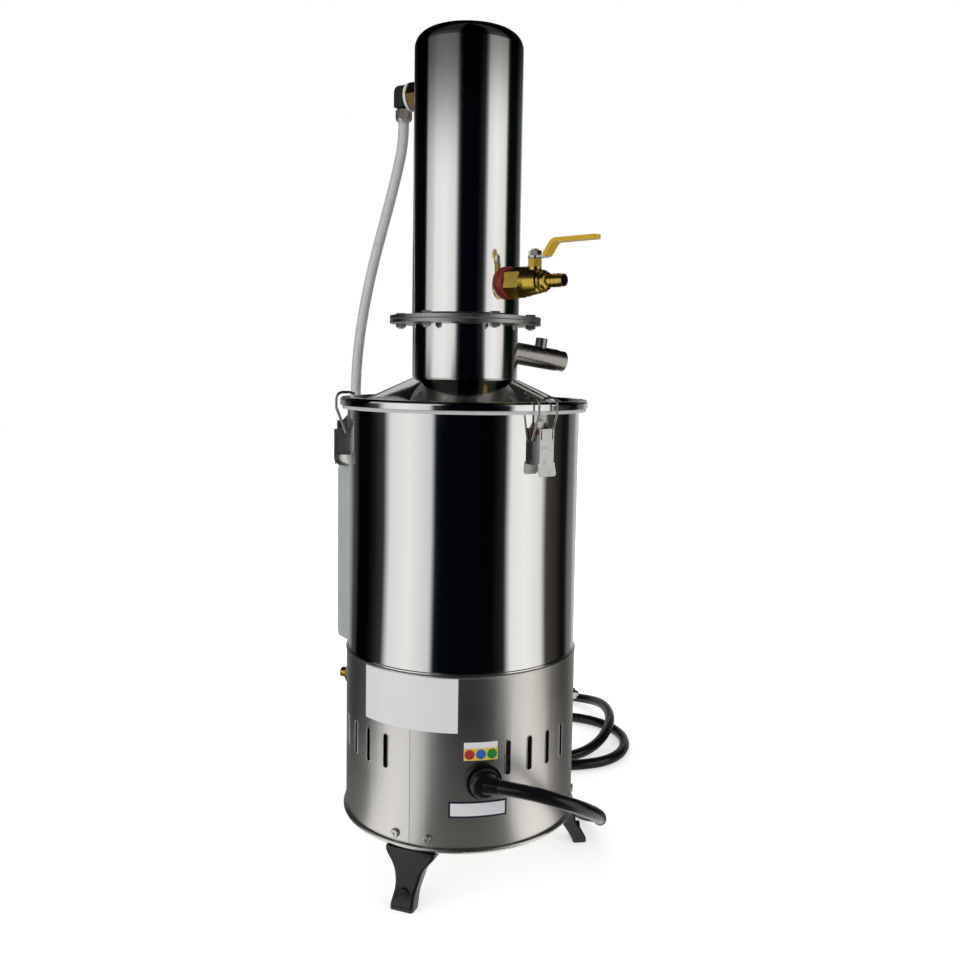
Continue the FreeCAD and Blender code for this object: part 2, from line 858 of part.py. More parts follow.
def make_gland_nut():
    low = front(stem_reach, boss_top)
    high = front(stem_reach, gland_top)
    nut = hexagon(low, high, gland_flats, facing)
    return turned_to(nut.cut(bar(low, high, stem_hole)), inlet_azimuth)


def make_handle_nut():
    low = front(stem_reach, handle_level + handle_thickness)
    high = low + upwards * handle_nut_height
    nut = hexagon(low, high, handle_nut_flats, rightwards)
    return turned_to(nut.cut(bar(low, high, stem_radius + clearance / 2)), inlet_azimuth)


# Lever of the ball valve: a bent steel strip with a coloured sleeve on its grip
handle_width = 8.4
handle_root_radius = 6.2
handle_bend = 5.0
handle_lift = 12.8
handle_step_start = 13.1
handle_step_run = 9.5
handle_length = 64.5
sleeve_start = 14.2
sleeve_wall = 0.8
sleeve_tip_flat = 2.0


def handle_line(start):
    """Stations of the lever's underside, from a distance out from the stem."""
    step = stem_reach + handle_step_start
    points = [(step + handle_step_run, handle_level + handle_lift),
              (stem_reach + handle_length, handle_level + handle_lift)]
    if start < handle_step_start:
        return [(stem_reach + start, handle_level), (step, handle_level)] + points
    share = (start - handle_step_start) / handle_step_run
    return [(stem_reach + start, handle_level + share * handle_lift)] + points


def make_valve_handle():
    line = handle_line(0)
    strip = bent_strip(line, [handle_bend, handle_bend], handle_thickness, handle_width)
    eye = bar(front(stem_reach, handle_level), front(stem_reach, handle_level + handle_thickness),
              handle_root_radius)
    hole = bar(front(stem_reach, handle_level - overrun), front(stem_reach, handle_level + overrun),
               stem_radius + clearance / 2)
    return turned_to(fused([strip, eye]).cut(hole), inlet_azimuth)


def make_handle_sleeve():
    line = [(r, z - sleeve_wall) for r, z in handle_line(sleeve_start)]
    line[-1] = (line[-1][0] + 2 * sleeve_wall, line[-1][1])
    thickness = handle_thickness + 2 * sleeve_wall
    width = handle_width + 2 * sleeve_wall
    sleeve = bent_strip(line, [handle_bend], thickness, width)
    tip = [e for e in sleeve.Edges
           if e.BoundBox.YMax < -(line[-1][0] - clearance) and e.BoundBox.ZLength > sleeve_wall]
    sleeve = sleeve.makeFillet((width - sleeve_tip_flat) / 2, tip)
    return turned_to(sleeve, inlet_azimuth).cut(make_valve_handle())


# Warm water outlet: a nut, a washer and an elbow on the condenser's upper nipple
elbow_nut_flats = 23.0
elbow_nut_reach = 11.3
elbow_nut_tip = condenser_radius + elbow_nut_reach
elbow_washer_radius = 12.8
elbow_washer_thickness = 2.5
elbow_half_width = 9.0
elbow_half_height = 9.6
elbow_length = 12.8
elbow_crown = 5.5
elbow_edge = 1.0
elbow_drop_distance = 7.0
elbow_boss_radius = 5.7
elbow_boss_depth = 10.2
elbow_bore = 4.0
hose_radius = 5.0
hose_nut_flats = 13.5
hose_nut_height = 11.3
hose_nut_bevel = 1.3
hose_nut_bore = 3.0
elbow_start = elbow_nut_tip + elbow_washer_thickness
elbow_tip = elbow_start + elbow_length
elbow_drop_reach = elbow_start + elbow_drop_distance
hose_nut_top = warm_level - elbow_boss_depth
hose_top = hose_nut_top - hose_nut_height


def make_elbow_nut():
    start = front(condenser_radius - overrun, warm_level)
    end = front(elbow_nut_tip, warm_level)
    nut = hexagon(start, end, elbow_nut_flats, rightwards)
    nut = nut.cut(bar(start, end, warm_nipple_radius + clearance))
    nut = turned_to(nut, warm_azimuth)
    return nut.cut(disc(condenser_radius + clearance / 2, upper_low, condenser_top))


def make_elbow_washer():
    washer = tube(front(elbow_nut_tip, warm_level), front(elbow_start, warm_level),
                  elbow_washer_radius, warm_nipple_radius + clearance)
    return turned_to(washer, warm_azimuth)


def make_elbow_body():
    half_width = elbow_half_width
    body = block(Vector(-half_width, -elbow_tip, warm_level - elbow_half_height),
                 Vector(half_width, -elbow_start, warm_level + elbow_half_height))
    crown = [e for e in body.Edges if e.BoundBox.XLength > half_width
             and e.BoundBox.ZMin > warm_level and e.BoundBox.YMax < -(elbow_tip - elbow_edge)]
    body = body.makeFillet(elbow_crown, crown)
    sides = [e for e in body.Edges if e.BoundBox.XLength < elbow_edge
             and e.BoundBox.YMax < -(elbow_start - elbow_edge / 2)
             and e.BoundBox.YMin < -(elbow_start + elbow_edge)]
    body = body.makeFillet(elbow_edge, sides)
    low = front(elbow_drop_reach, hose_nut_top)
    boss = bar(front(elbow_drop_reach, warm_level), low, elbow_boss_radius)
    body = body.fuse(boss)
    socket = bar(front(elbow_start - overrun, warm_level),
                 front(warm_nipple_tip + clearance, warm_level), warm_nipple_radius + clearance)
    across = bar(front(elbow_start, warm_level), front(elbow_drop_reach, warm_level), elbow_bore)
    down = bar(front(elbow_drop_reach, warm_level), low - upwards * overrun, elbow_bore)
    return turned_to(body.cut(socket).cut(across).cut(down), warm_azimuth)


def make_hose_nut():
    high = front(elbow_drop_reach, hose_nut_top)
    low = front(elbow_drop_reach, hose_top)
    corner = hose_nut_flats / math.sqrt(3)
    blank = lathe([(0, corner - hose_nut_bevel), (2 * hose_nut_bevel, corner),
                   (hose_nut_height - hose_nut_bevel, corner),
                   (hose_nut_height, corner - 2 * hose_nut_bevel)], low, high)
    nut = hexagon(low, high, hose_nut_flats, rightwards).common(blank)
    return turned_to(nut.cut(bar(low, high, hose_nut_bore)), warm_azimuth)


# Return hose: its points run from the elbow's nut down into the feed cup
hose_points = [
    Vector(-60.6, 35.0, 674.0),
    Vector(-65.6, 40.3, 650.0),
    Vector(-74.6, 46.0, 616.0),
    Vector(-94.2, 56.5, 547.0),
    Vector(-106.4, 66.5, 481.0),
    Vector(-109.8, 74.0, 425.0),
    Vector(-108.6, 77.5, 379.0),
]


def corner_radii(points, share=0.45):
    """The arc at each corner takes a share of its shorter run."""
    radii = []
    for before, corner, after in zip(points, points[1:], points[2:]):
        back = before - corner
        ahead = after - corner
        half_turn = (math.pi - back.getAngle(ahead)) / 2
        shorter = min(back.Length, ahead.Length)
        radii.append(share * shorter / math.tan(half_turn))
    return radii


def report_tube(name, path, solid, radius, radii):
    expected = math.pi * radius * radius * path.Length
    print(name, "length", round(path.Length, 1), "smallest radius", round(min(radii), 1),
          "volume ratio", round(solid.Volume / expected, 4))


def make_return_hose():
    first = hose_points[0]
    points = [Vector(first.x, first.y, hose_top)] + hose_points
    radii = corner_radii(points)
    path = rounded_path(points, radii)
    hose = round_tube(path, hose_radius)
    report_tube("return_hose", path, hose, hose_radius, radii)
    return hose


# Feed cup: an open cup beside the pot, joined to it by a short pipe
cup_radius = 20.0
cup_distance = 31.4
cup_reach = pot_radius + cup_distance
cup_drop = 9.0
cup_low = feed_level - cup_drop
cup_height = 37.0
cup_corner = 8.0


def make_feed_cup():
    points = [(cup_radius, cup_low + cup_height), (cup_radius, cup_low), (0, cup_low)]
    cup = sheet_of_revolution(points, [cup_corner], -sheet)
    cup.translate(front(cup_reach, 0))
    pipe = bar(front(pot_radius - sheet, feed_level),
               front(cup_reach - cup_radius + sheet / 2, feed_level), feed_pipe_radius)
    bore = bar(front(pot_radius - overrun, feed_level), front(cup_reach - cup_radius / 2, feed_level),
               feed_pipe_radius - sheet)
    return turned_to(cup.fuse(pipe).cut(bore), cup_azimuth)


# Control box: a folded case on two saddles, with a cover, two push buttons and a lamp
box_width = 120.0
box_drop = 21.6
box_low = seam_level - box_drop
box_cup_gap = 0.8
box_top = cup_low - box_cup_gap
box_depth = 42.0
box_sheet = 1.2
box_stand = 2.3
box_back = housing_radius + box_stand
box_front = box_back + box_depth
box_wall_gap = 0.6
cover_thickness = 1.5
cover_corner = 5.0
saddle_half_width = 20.0
saddle_height = 10.0
saddle_inset = 30.0
conduit_distance = 14.8
conduit_reach = box_back + conduit_distance
cover_screw_inset = 9.0
button_drop = 68.0
button_level = box_top - button_drop
button_spread = 44.0
lamp_drop = 32.0
lamp_level = box_top - lamp_drop
button_radius = 7.9
button_hole_radius = 8.2
bezel_radius = 11.0
bezel_height = 2.5
button_stand = 5.0
button_flange_radius = 9.5
button_flange = 2.0
button_tail = 12.0
button_edge = 1.0
lamp_radius = 7.5
lamp_height = 6.0
contactor_width = 45.0
contactor_height = 62.0
contactor_depth = 24.0
contactor_nose = 5.0
contactor_screw_radius = 3.5
contactor_screw_depth = 2.0
contactor_rise = 28.0
contactor_level = box_low + contactor_rise


def make_box_body():
    half = box_width / 2
    case = block(Vector(-half, -box_front, box_low), Vector(half, -(pot_radius / 2), box_top))
    inner = half - box_sheet
    hollow = block(Vector(-inner, -(box_front + overrun), box_low + box_sheet),
                   Vector(inner, -(box_back + box_sheet), box_top - box_sheet))
    behind = block(Vector(-inner, -box_back, box_low + box_sheet),
                   Vector(inner, 0, box_top - box_sheet))
    case = case.cut(hollow).cut(behind)
    case = case.cut(disc(housing_radius + box_wall_gap, box_low - overrun, box_top + overrun))
    hole = bar(front(conduit_reach, box_low - overrun), front(conduit_reach, box_low + overrun),
               conduit_radius + clearance)
    case = case.cut(hole)
    saddles = []
    for level in (box_low + saddle_inset, box_top - saddle_inset):
        saddle = block(Vector(-saddle_half_width, -(box_back + box_sheet / 2),
                              level - saddle_height / 2),
                       Vector(saddle_half_width, -(pot_radius - overrun),
                              level + saddle_height / 2))
        saddles.append(saddle.cut(disc(pot_radius + clearance / 2, box_low, box_top)))
    return turned_to(fused([case] + saddles), box_azimuth)


def cover_screw_places():
    across = box_width / 2 - cover_screw_inset
    low = box_low + cover_screw_inset
    high = box_top - cover_screw_inset
    face = box_front + cover_thickness
    return [front(face, level, side * across) for side in (-1, 1) for level in (low, high)]


def make_box_cover():
    half = box_width / 2
    cover = block(Vector(-half, -(box_front + cover_thickness), box_low),
                  Vector(half, -box_front, box_top))
    corners = [e for e in cover.Edges if e.BoundBox.YLength > cover_thickness / 2]
    cover = cover.makeFillet(cover_corner, corners)
    for side in (-1, 1):
        centre = front(box_front - overrun, button_level, side * button_spread / 2)
        outer = front(box_front + overrun, button_level, side * button_spread / 2)
        cover = cover.cut(bar(centre, outer, button_hole_radius))
    for seat in cover_screw_places():
        inside = Vector(seat.x, -(box_front - overrun), seat.z)
        outside = Vector(seat.x, -(box_front + overrun), seat.z)
        cover = cover.cut(bar(inside, outside, screw_hole_radius))
    return turned_to(cover, box_azimuth)


def make_cover_screws():
    return [turned_to(pan_screw(seat, facing), box_azimuth) for seat in cover_screw_places()]


def make_button_bezels():
    face = box_front + cover_thickness
    bezels = []
    for side in (-1, 1):
        low = front(face, button_level, side * button_spread / 2)
        high = front(face + bezel_height, button_level, side * button_spread / 2)
        bezels.append(turned_to(tube(low, high, bezel_radius, button_hole_radius), box_azimuth))
    low = front(face, lamp_level)
    high = front(face + bezel_height, lamp_level)
    bezels.append(turned_to(tube(low, high, bezel_radius, lamp_radius + clearance), box_azimuth))
    return bezels


def make_button(side):
    face = box_front + cover_thickness
    across = side * button_spread / 2
    cap = bar(front(box_front - button_tail, button_level, across),
              front(face + button_stand, button_level, across), button_radius)
    rim = [e for e in cap.Edges if e.BoundBox.YMax < -(face + button_stand / 2)]
    cap = cap.makeFillet(button_edge, rim)
    stop = bar(front(box_front - button_flange - clearance, button_level, across),
               front(box_front - clearance, button_level, across), button_flange_radius)
    return turned_to(cap.fuse(stop), box_azimuth)


def make_pilot_lamp():
    face = box_front + cover_thickness
    lens = bar(front(face, lamp_level), front(face + lamp_height, lamp_level), lamp_radius)
    rim = [e for e in lens.Edges if e.BoundBox.YMax < -(face + lamp_height / 2)]
    return turned_to(lens.makeFillet(lamp_radius / 3, rim), box_azimuth)


def make_contactor():
    back = box_back + box_sheet
    half = contactor_width / 2
    body = block(Vector(-half, -(back + contactor_depth), contactor_level),
                 Vector(half, -back, contactor_level + contactor_height))
    nose_inset = contactor_width / 4
    nose = block(Vector(-half, -(back + contactor_depth + contactor_nose),
                        contactor_level + nose_inset),
                 Vector(half, -(back + contactor_depth / 2),
                        contactor_level + contactor_height - nose_inset))
    body = body.fuse(nose)
    for level in (contactor_level + nose_inset / 2,
                  contactor_level + contactor_height - nose_inset / 2):
        for index in (-1, 0, 1):
            across = index * contactor_width / 3
            outer = front(back + contactor_depth + overrun, level, across)
            inner = front(back + contactor_depth - contactor_screw_depth, level, across)
            body = body.cut(bar(outer, inner, contactor_screw_radius))
    return turned_to(body, box_azimuth)


conduit_bend = 10.0


def make_wiring_conduit():
    points = [front(conduit_reach, box_low + box_sheet + clearance),
              front(conduit_reach, conduit_level),
              front(housing_radius - sheet - embed, conduit_level)]
    path = rounded_path(points, [conduit_bend])
    outer = round_tube(path, conduit_radius)
    inner = round_tube(path, conduit_radius - sheet)
    return turned_to(outer.cut(inner), box_azimuth)


# Heaters: hairpin elements through the pot's floor, each leg held by a nut
heater_nut_flats = 14.0
heater_nut_height = 5.0
heater_bend_gap = 1.0
thermostat_radius = 9.0
thermostat_height = 6.0
blade_width = 6.0
blade_thickness = 0.8
blade_height = 7.0
blade_spacing = 9.0


def make_heaters():
    half = heater_spacing / 2
    bend = half - heater_bend_gap / 2
    low = pot_low - heater_nut_height - heater_tail
    high = pot_low + heater_rise
    corners = [front(heater_circle, low, -half), front(heater_circle, high, -half),
               front(heater_circle, high, half), front(heater_circle, low, half)]
    hairpin = round_tube(rounded_path(corners, [bend, bend]), heater_radius)
    return [turned_to(hairpin, heater_azimuth + index * 360 / heater_count)
            for index in range(heater_count)]


def make_heater_nuts():
    nuts = []
    for high in heater_leg_points(pot_low):
        low = high - upwards * heater_nut_height
        nut = hexagon(low, high, heater_nut_flats, Vector(high.x, high.y, 0))
        nuts.append(nut.cut(bar(low, high, heater_radius + clearance)))
    return nuts


def make_thermostat():
    body = disc(thermostat_radius, pot_low - thermostat_height, pot_low)
    low = pot_low - thermostat_height - blade_height
    blades = []
    for side in (-1, 1):
        across = side * blade_spacing / 2
        blades.append(block(Vector(across - blade_thickness / 2, -blade_width / 2, low),
                            Vector(across + blade_thickness / 2, blade_width / 2,
                                   pot_low - thermostat_height / 2)))
    return fused([body] + blades)


# Drain cock: a pipe from the pot's floor, a hexagonal plug body and a butterfly handle
drain_bend = 12.0
cock_distance = 3.1
cock_start = housing_radius + cock_distance
cock_flats = 16.0
cock_length = 20.0
spout_length = 8.0
spout_radius = 5.0
spout_bore = 3.2
plug_radius = 5.0
plug_reach = cock_start + cock_length / 2
plug_drop = 6.0
plug_rise = 7.0
plug_stem_radius = 2.5
butterfly_length = 20.0
butterfly_width = 6.0
butterfly_thickness = 2.4
butterfly_flat = 1.0
butterfly_gap = 1.0


def make_drain_valve():
    points = [front(drain_circle, pot_low + sheet), front(drain_circle, drain_level),
              front(cock_start + embed, drain_level)]
    path = rounded_path(points, [drain_bend])
    pipe = round_tube(path, drain_pipe_radius)
    way = round_tube(path, drain_bore_radius)
    hex_end = cock_start + cock_length
    body = hexagon(front(cock_start, drain_level), front(hex_end, drain_level), cock_flats,
                   rightwards)
    spout = bar(front(hex_end - embed, drain_level), front(hex_end + spout_length, drain_level),
                spout_radius)
    through = bar(front(cock_start, drain_level),
                  front(hex_end + spout_length + overrun, drain_level), spout_bore)
    seat = bar(front(plug_reach, drain_level - plug_drop - clearance),
               front(plug_reach, drain_level + cock_flats), plug_radius + running_clearance)
    cock = pipe.fuse([body, spout]).cut(way).cut(through).cut(seat)
    return turned_to(cock, drain_azimuth)


def make_drain_handle():
    plug_top = drain_level + plug_rise
    plug = bar(front(plug_reach, drain_level - plug_drop), front(plug_reach, plug_top), plug_radius)
    bore = bar(front(plug_reach, drain_level, -plug_radius * 2),
               front(plug_reach, drain_level, plug_radius * 2), spout_bore)
    bar_low = drain_level + cock_flats / 2 + butterfly_gap
    stem = bar(front(plug_reach, plug_top - embed), front(plug_reach, bar_low + embed),
               plug_stem_radius)
    wings = block(Vector(-butterfly_length / 2, -(plug_reach + butterfly_width / 2), bar_low),
                  Vector(butterfly_length / 2, -(plug_reach - butterfly_width / 2),
                         bar_low + butterfly_thickness))
    uprights = [e for e in wings.Edges if e.BoundBox.ZLength > butterfly_thickness / 2]
    wings = wings.makeFillet((butterfly_width - butterfly_flat) / 2, uprights)
    return turned_to(plug.cut(bore).fuse([stem, wings]), drain_azimuth)


# Earth terminal: a stud with a washer and a nut on the housing
earth_tail = 6.9
earth_free_end = 3.0
earth_neck_radius = 2.8
earth_inner = housing_radius - earth_tail
earth_washer_radius = 6.5
earth_washer = 1.3
earth_nut_flats = 10.0
earth_nut = 4.0


def make_earth_terminal():
    start = housing_radius + clearance / 2
    stack = 2 * (earth_washer + earth_nut)
    stud = bar(front(earth_inner, earth_level), front(start + stack, earth_level), earth_neck_radius)
    free_end = bar(front(start + stack, earth_level),
                   front(start + stack + earth_free_end, earth_level), earth_stud_radius)
    pieces = [stud.fuse(free_end)]
    for thickness, kind in ((earth_washer, "washer"), (earth_nut, "nut"),
                            (earth_washer, "washer"), (earth_nut, "nut")):
        low = front(start, earth_level)
        high = front(start + thickness, earth_level)
        if kind == "washer":
            piece = bar(low, high, earth_washer_radius)
        else:
            piece = hexagon(low, high, earth_nut_flats, upwards)
        pieces.append(piece.cut(bar(low, high, earth_stud_radius + clearance / 2)))
        start = start + thickness
    return [turned_to(piece, earth_azimuth) for piece in pieces]


# Cable gland: a domed rubber boot whose nose points to the right, with a lock nut inside
boot_radius = 15.8
boot_flange = 3.6
boot_edge = 1.0
dome_radius = 13.2
dome_length = 9.0
dome_fillet = 6.0
nose_turn_angle = 57.0
nose_root_distance = 8.6
nose_root_reach = housing_radius + nose_root_distance
nose_length = 12.0
nose_root_radius = 8.6
nose_tip_radius = 6.6
lock_nut_flats = 24.0
lock_nut_height = 5.0
cable_radius = 6.0


def nose_ends():
    """The cable's exit line: its root in the dome and its tip."""
    root = azimuth_direction(gland_azimuth) * nose_root_reach + upwards * gland_level
    return root, root + azimuth_direction(gland_azimuth + nose_turn_angle) * nose_length


def make_cable_gland():
    inner = housing_radius - sheet
    shank = bar(front(inner - lock_nut_height, gland_level),
                front(housing_radius + boot_flange, gland_level), gland_shank_radius)
    flange = bar(front(inner, gland_level), front(housing_radius + boot_flange, gland_level),
                 boot_radius)
    flange_edge = [e for e in flange.Edges if e.BoundBox.YMax < -(housing_radius + boot_edge)]
    flange = flange.makeFillet(boot_edge, flange_edge)
    flange = flange.cut(disc(housing_radius + clearance / 2, housing_low, seam_level))
    dome = bar(front(housing_radius + embed, gland_level),
               front(housing_radius + boot_flange + dome_length, gland_level), dome_radius)
    dome_edge = [e for e in dome.Edges if e.BoundBox.YMax < -(housing_radius + boot_flange)]
    dome = dome.makeFillet(dome_fillet, dome_edge)
    boot = turned_to(shank.fuse([flange, dome]), gland_azimuth)
    root, tip = nose_ends()
    along = tip - root
    nose = Part.makeCone(nose_root_radius, nose_tip_radius, along.Length, root, along)
    boot = boot.fuse(nose)
    nut = hexagon(front(inner - lock_nut_height - clearance, gland_level),
                  front(inner - clearance, gland_level), lock_nut_flats, upwards)
    nut = turned_to(nut, gland_azimuth)
    nut = nut.common(disc(inner - clearance, housing_low, seam_level))
    shank_way = bar(front(inner - 2 * lock_nut_height, gland_level),
                    front(housing_radius, gland_level), gland_shank_radius + clearance)
    rim_way = disc(housing_radius - 2 * sheet - 2 * clearance, 0, foot_height + rim_height)
    nut = nut.cut(turned_to(shank_way, gland_azimuth))
    nut = nut.cut(rim_way.cut(disc(housing_radius / 2, 0, foot_height + rim_height)))
    return [boot, nut]


# Power cord: it leaves the gland, sinks to the bench on the right and lies in two loose loops
cord_route = [
    Vector(57.6, -128.3, 111.6),
    Vector(82.7, -128.8, 104.8),
    Vector(106.1, -119.0, 92.9),
    Vector(121.3, -100.4, 78.3),
    Vector(126.8, -72.8, 61.5),
    Vector(130.5, -37.7, 46.6),
    Vector(135.4, -2.6, 31.6),
    Vector(135.4, 27.1, 16.4),
    Vector(126.9, 51.4, 7.0),
    Vector(113.6, 73.5, cable_radius),
    Vector(94.2, 92.5, cable_radius),
    Vector(69.6, 111.8, cable_radius),
    Vector(42.5, 135.9, cable_radius),
    Vector(16.9, 168.9, cable_radius),
    Vector(-3.5, 212.5, cable_radius),
]
hump = 20.4
hump_foot = 8.6
loop_route = [
    Vector(-9.5, 265.8, cable_radius),
    Vector(3.9, 322.5, cable_radius),
    Vector(36.3, 373.2, cable_radius),
    Vector(82.3, 408.1, cable_radius),
    Vector(131.6, 417.5, cable_radius),
    Vector(171.9, 395.4, hump_foot),
    Vector(192.3, 342.6, hump),
    Vector(192.6, 279.3, hump),
    Vector(165.9, 224.4, hump_foot),
    Vector(121.2, 191.6, cable_radius),
    Vector(72.6, 197.6, cable_radius),
    Vector(41.3, 235.2, cable_radius),
    Vector(44.1, 284.1, cable_radius),
    Vector(78.8, 323.0, cable_radius),
    Vector(129.9, 336.3, cable_radius),
    Vector(177.1, 318.3, cable_radius),
    Vector(204.0, 277.0, cable_radius),
    Vector(202.4, 228.6, cable_radius),
    Vector(177.6, 190.1, cable_radius),
    Vector(136.4, 174.9, cable_radius),
    Vector(93.2, 175.5, cable_radius),
    Vector(67.2, 182.8, cable_radius),
]


def cord_halves():
    """The whole route, split in the middle of the run between the two lists."""
    root, tip = nose_ends()
    join = (cord_route[-1] + loop_route[0]) * 0.5
    return [tip] + cord_route + [join], [join] + loop_route


def make_power_cord():
    lead, loops = cord_halves()
    radii = corner_radii(lead)
    path = rounded_path(lead, radii)
    solid = round_tube(path, cable_radius)
    report_tube("power_cord", path, solid, cable_radius, radii)
    return solid


def make_cord_loops():
    lead, loops = cord_halves()
    radii = corner_radii(loops)
    path = rounded_path(loops, radii)
    solid = round_tube(path, cable_radius)
    report_tube("cord_loops", path, solid, cable_radius, radii)
    report_least_gap(path)
    return solid


def report_least_gap(path):
    """Measure the gap between the cord and itself on points along its path."""
    spacing = cable_radius / 2
    points = path.discretize(Distance=spacing)
    apart = int(8 * cable_radius / spacing)
    least = None
    for index, point in enumerate(points):
        for other in points[index + apart:]:
            gap = point.distanceToPoint(other) - 2 * cable_radius
            if least is None or gap < least:
                least = gap
    print("cord_loops least gap to itself", round(least, 2))


core_radius = 1.7
core_length = 34.0
core_fan = 7.0
core_splay = 9.0
core_root_spread = 1.8
core_root_drop = 1.0
core_bend_share = 0.5
ferrule_radius = 1.0
ferrule_length = 9.0


def make_cord_cores():
    """Three bare-ended cores that leave the end of the cord side by side."""
    end = loop_route[-1]
    along = end - loop_route[-2]
    along.normalize()
    side = along.cross(upwards)
    cores = []
    for index in (-1, 0, 1):
        lift = 0 if index else core_radius
        start = end + side * core_root_spread * index + upwards * (lift - core_root_drop)
        bend = end + along * core_length * core_bend_share + side * core_fan * index
        bend.z = core_radius
        tip = end + along * core_length + side * (core_fan + core_splay) * index
        tip.z = core_radius
        points = [start, start + along * core_fan, bend, tip]
        path = rounded_path(points, corner_radii(points))
        core = round_tube(path, core_radius)
        ahead = tip - bend
        ahead.normalize()
        cores.append(core.fuse(bar(tip - ahead * embed, tip + ahead * ferrule_length,
                                   ferrule_radius)))
    return cores


# Latches: over-centre toggle clamps whose wire bails hook over the lid's bead
latch_azimuths = (36.6, -83.0, 157.0)
plate_width = 13.0
plate_length = 43.0
plate_gap = 0.1
rivet_stand = 7.1
rivet_drop = 15.0
rivet_radius = 1.5
rivet_head_radius = 2.4
rivet_head = 0.4
rivet_level = gasket_low - rivet_drop
rivet_reach = pot_radius + rivet_stand
bail_inset = 4.3
bail_drop = 7.1
bail_level = rivet_level - bail_drop
bail_reach = rivet_reach - bail_inset
wire_radius = 1.0
bail_half = 10.0
bail_corner = 1.5
hook_bend = 7.0
hook_stand = 3.4
hook_rise = 3.7
hook_grip = 8.5
hook_tip_grip = 13.4
hook_tip_drop = 1.6
hook_outer = lid_radius + hook_stand
hook_top = lid_ring_level + lid_bead_height + hook_rise
hook_inner = lid_radius - hook_grip
hook_tip_reach = lid_radius - hook_tip_grip
hook_bend_shares = (0.5, 0.9, 1.0)
lever_half = 7.8
lever_sheet = 1.0
lever_bend = 2.0
lever_stand = 3.5
lever_rise = 3.2
lever_drop = 27.5
lever_tip_drop = 36.8
lever_wide_drop = 25.5
lever_heel = 4.0
lever_flare = 2.3
lever_tip_half = 9.3
lever_corner = 3.0
lever_depth = 10.4
lever_face = rivet_reach + lever_stand
lever_top = rivet_level + lever_rise
lever_foot = rivet_level - lever_drop
lever_tip = rivet_level - lever_tip_drop
lever_tip_start = rivet_level - lever_wide_drop
# Back edge of the lever's side, from its bottom up: shares of its depth and of its top's height
lever_back_shares = ((1.0, -1.0), (0.88, 0.0), (0.6, 0.9), (0.4, 1.0))
notch_inner = 5.6
notch_depth = 9.0
ear_inner = 5.9
ear_outer = 6.5
ear_root_share = 0.6
# Nose of the ear round the rivet: shares of the rivet's radius outwards and of the eye upwards
ear_nose_shares = ((-1.0, -1.0), (0.6, -0.8), (1.0, 0.0), (0.6, 0.8), (-1.0, 1.4))
tab_hole_radius = 1.4
tab_hole_drop = 4.8


def side_plate(outline, inner, outer):
    """A plate square to the latch's pins, from (out, up) points measured from the rivet."""
    points = [front(rivet_reach + out, rivet_level + up, inner) for out, up in outline]
    face = Part.Face(Part.makePolygon(points + [points[0]]))
    return face.extrude(rightwards * (outer - inner))


def pin_bar(reach, level, radius, half_length):
    return bar(front(reach, level, -half_length), front(reach, level, half_length), radius)


def make_latch_plates():
    start = pot_radius + plate_gap
    plate = block(Vector(-plate_width / 2, -(start + lever_sheet), gasket_low - plate_length),
                  Vector(plate_width / 2, -start, gasket_low - clearance))
    hole = bar(front(start - overrun, gasket_low - tab_hole_drop),
               front(start + overrun, gasket_low - tab_hole_drop), tab_hole_radius)
    plate = plate.cut(hole)
    root = -(rivet_stand - plate_gap - lever_sheet / 2)
    eye = rivet_radius + lever_sheet
    outline = [(root, rivet_drop * ear_root_share), (root, -rivet_radius)]
    outline += [(rivet_radius * out, eye * up) for out, up in ear_nose_shares]
    ears = []
    for side in (-1, 1):
        ear = side_plate(outline, side * ear_inner, side * ear_outer)
        ears.append(ear.cut(pin_bar(rivet_reach, rivet_level, rivet_radius + clearance / 2,
                                    bail_half)))
    plate = fused([plate] + ears)
    return [turned_to(plate, azimuth) for azimuth in latch_azimuths]


def make_latch_rivets():
    head_start = lever_half + clearance
    pin = pin_bar(rivet_reach, rivet_level, rivet_radius, head_start)
    for side in (-1, 1):
        pin = pin.fuse(bar(front(rivet_reach, rivet_level, side * head_start),
                           front(rivet_reach, rivet_level, side * (head_start + rivet_head)),
                           rivet_head_radius))
    return [turned_to(pin, azimuth) for azimuth in latch_azimuths]


def make_latch_lever():
    face = lever_face - lever_sheet
    line = [(face, lever_top), (face, lever_foot), (face + lever_flare, lever_tip)]
    bend = [lever_bend]
    strip = bent_strip(line, bend, lever_sheet, 2 * lever_half)
    tip_line = [(face, lever_tip_start)] + line[1:]
    tip = bent_strip(tip_line, bend, lever_sheet, 2 * lever_tip_half)
    corners = [e for e in tip.Edges if e.BoundBox.ZMax < lever_tip + lever_sheet
               and e.BoundBox.XLength < lever_sheet / 2]
    tip = tip.makeFillet(lever_corner, corners)
    inner = -(lever_depth - (lever_face - rivet_reach))
    top = lever_top - rivet_level
    foot = lever_foot - rivet_level
    outside = lever_face - rivet_reach - lever_sheet / 2
    outline = [(outside, top), (outside, foot), (inner + lever_sheet, foot),
               (inner, foot + lever_heel)]
    outline += [(inner * back, top * up) for back, up in lever_back_shares]
    lever = strip.fuse(tip)
    for side in (-1, 1):
        lever = lever.fuse(side_plate(outline, side * (lever_half - lever_sheet),
                                      side * lever_half))
    lever = lever.removeSplitter()
    for side in (-1, 1):
        low_x, high_x = sorted((side * notch_inner, side * (lever_half - lever_sheet)))
        notch = block(Vector(low_x, -(lever_face + overrun), lever_top - notch_depth),
                      Vector(high_x, -(rivet_reach - lever_depth), lever_top + overrun))
        lever = lever.cut(notch)
    lever = lever.cut(pin_bar(rivet_reach, rivet_level, rivet_radius + running_clearance,
                              2 * lever_half))
    return lever.cut(pin_bar(bail_reach, bail_level, wire_radius + running_clearance,
                             2 * lever_half))


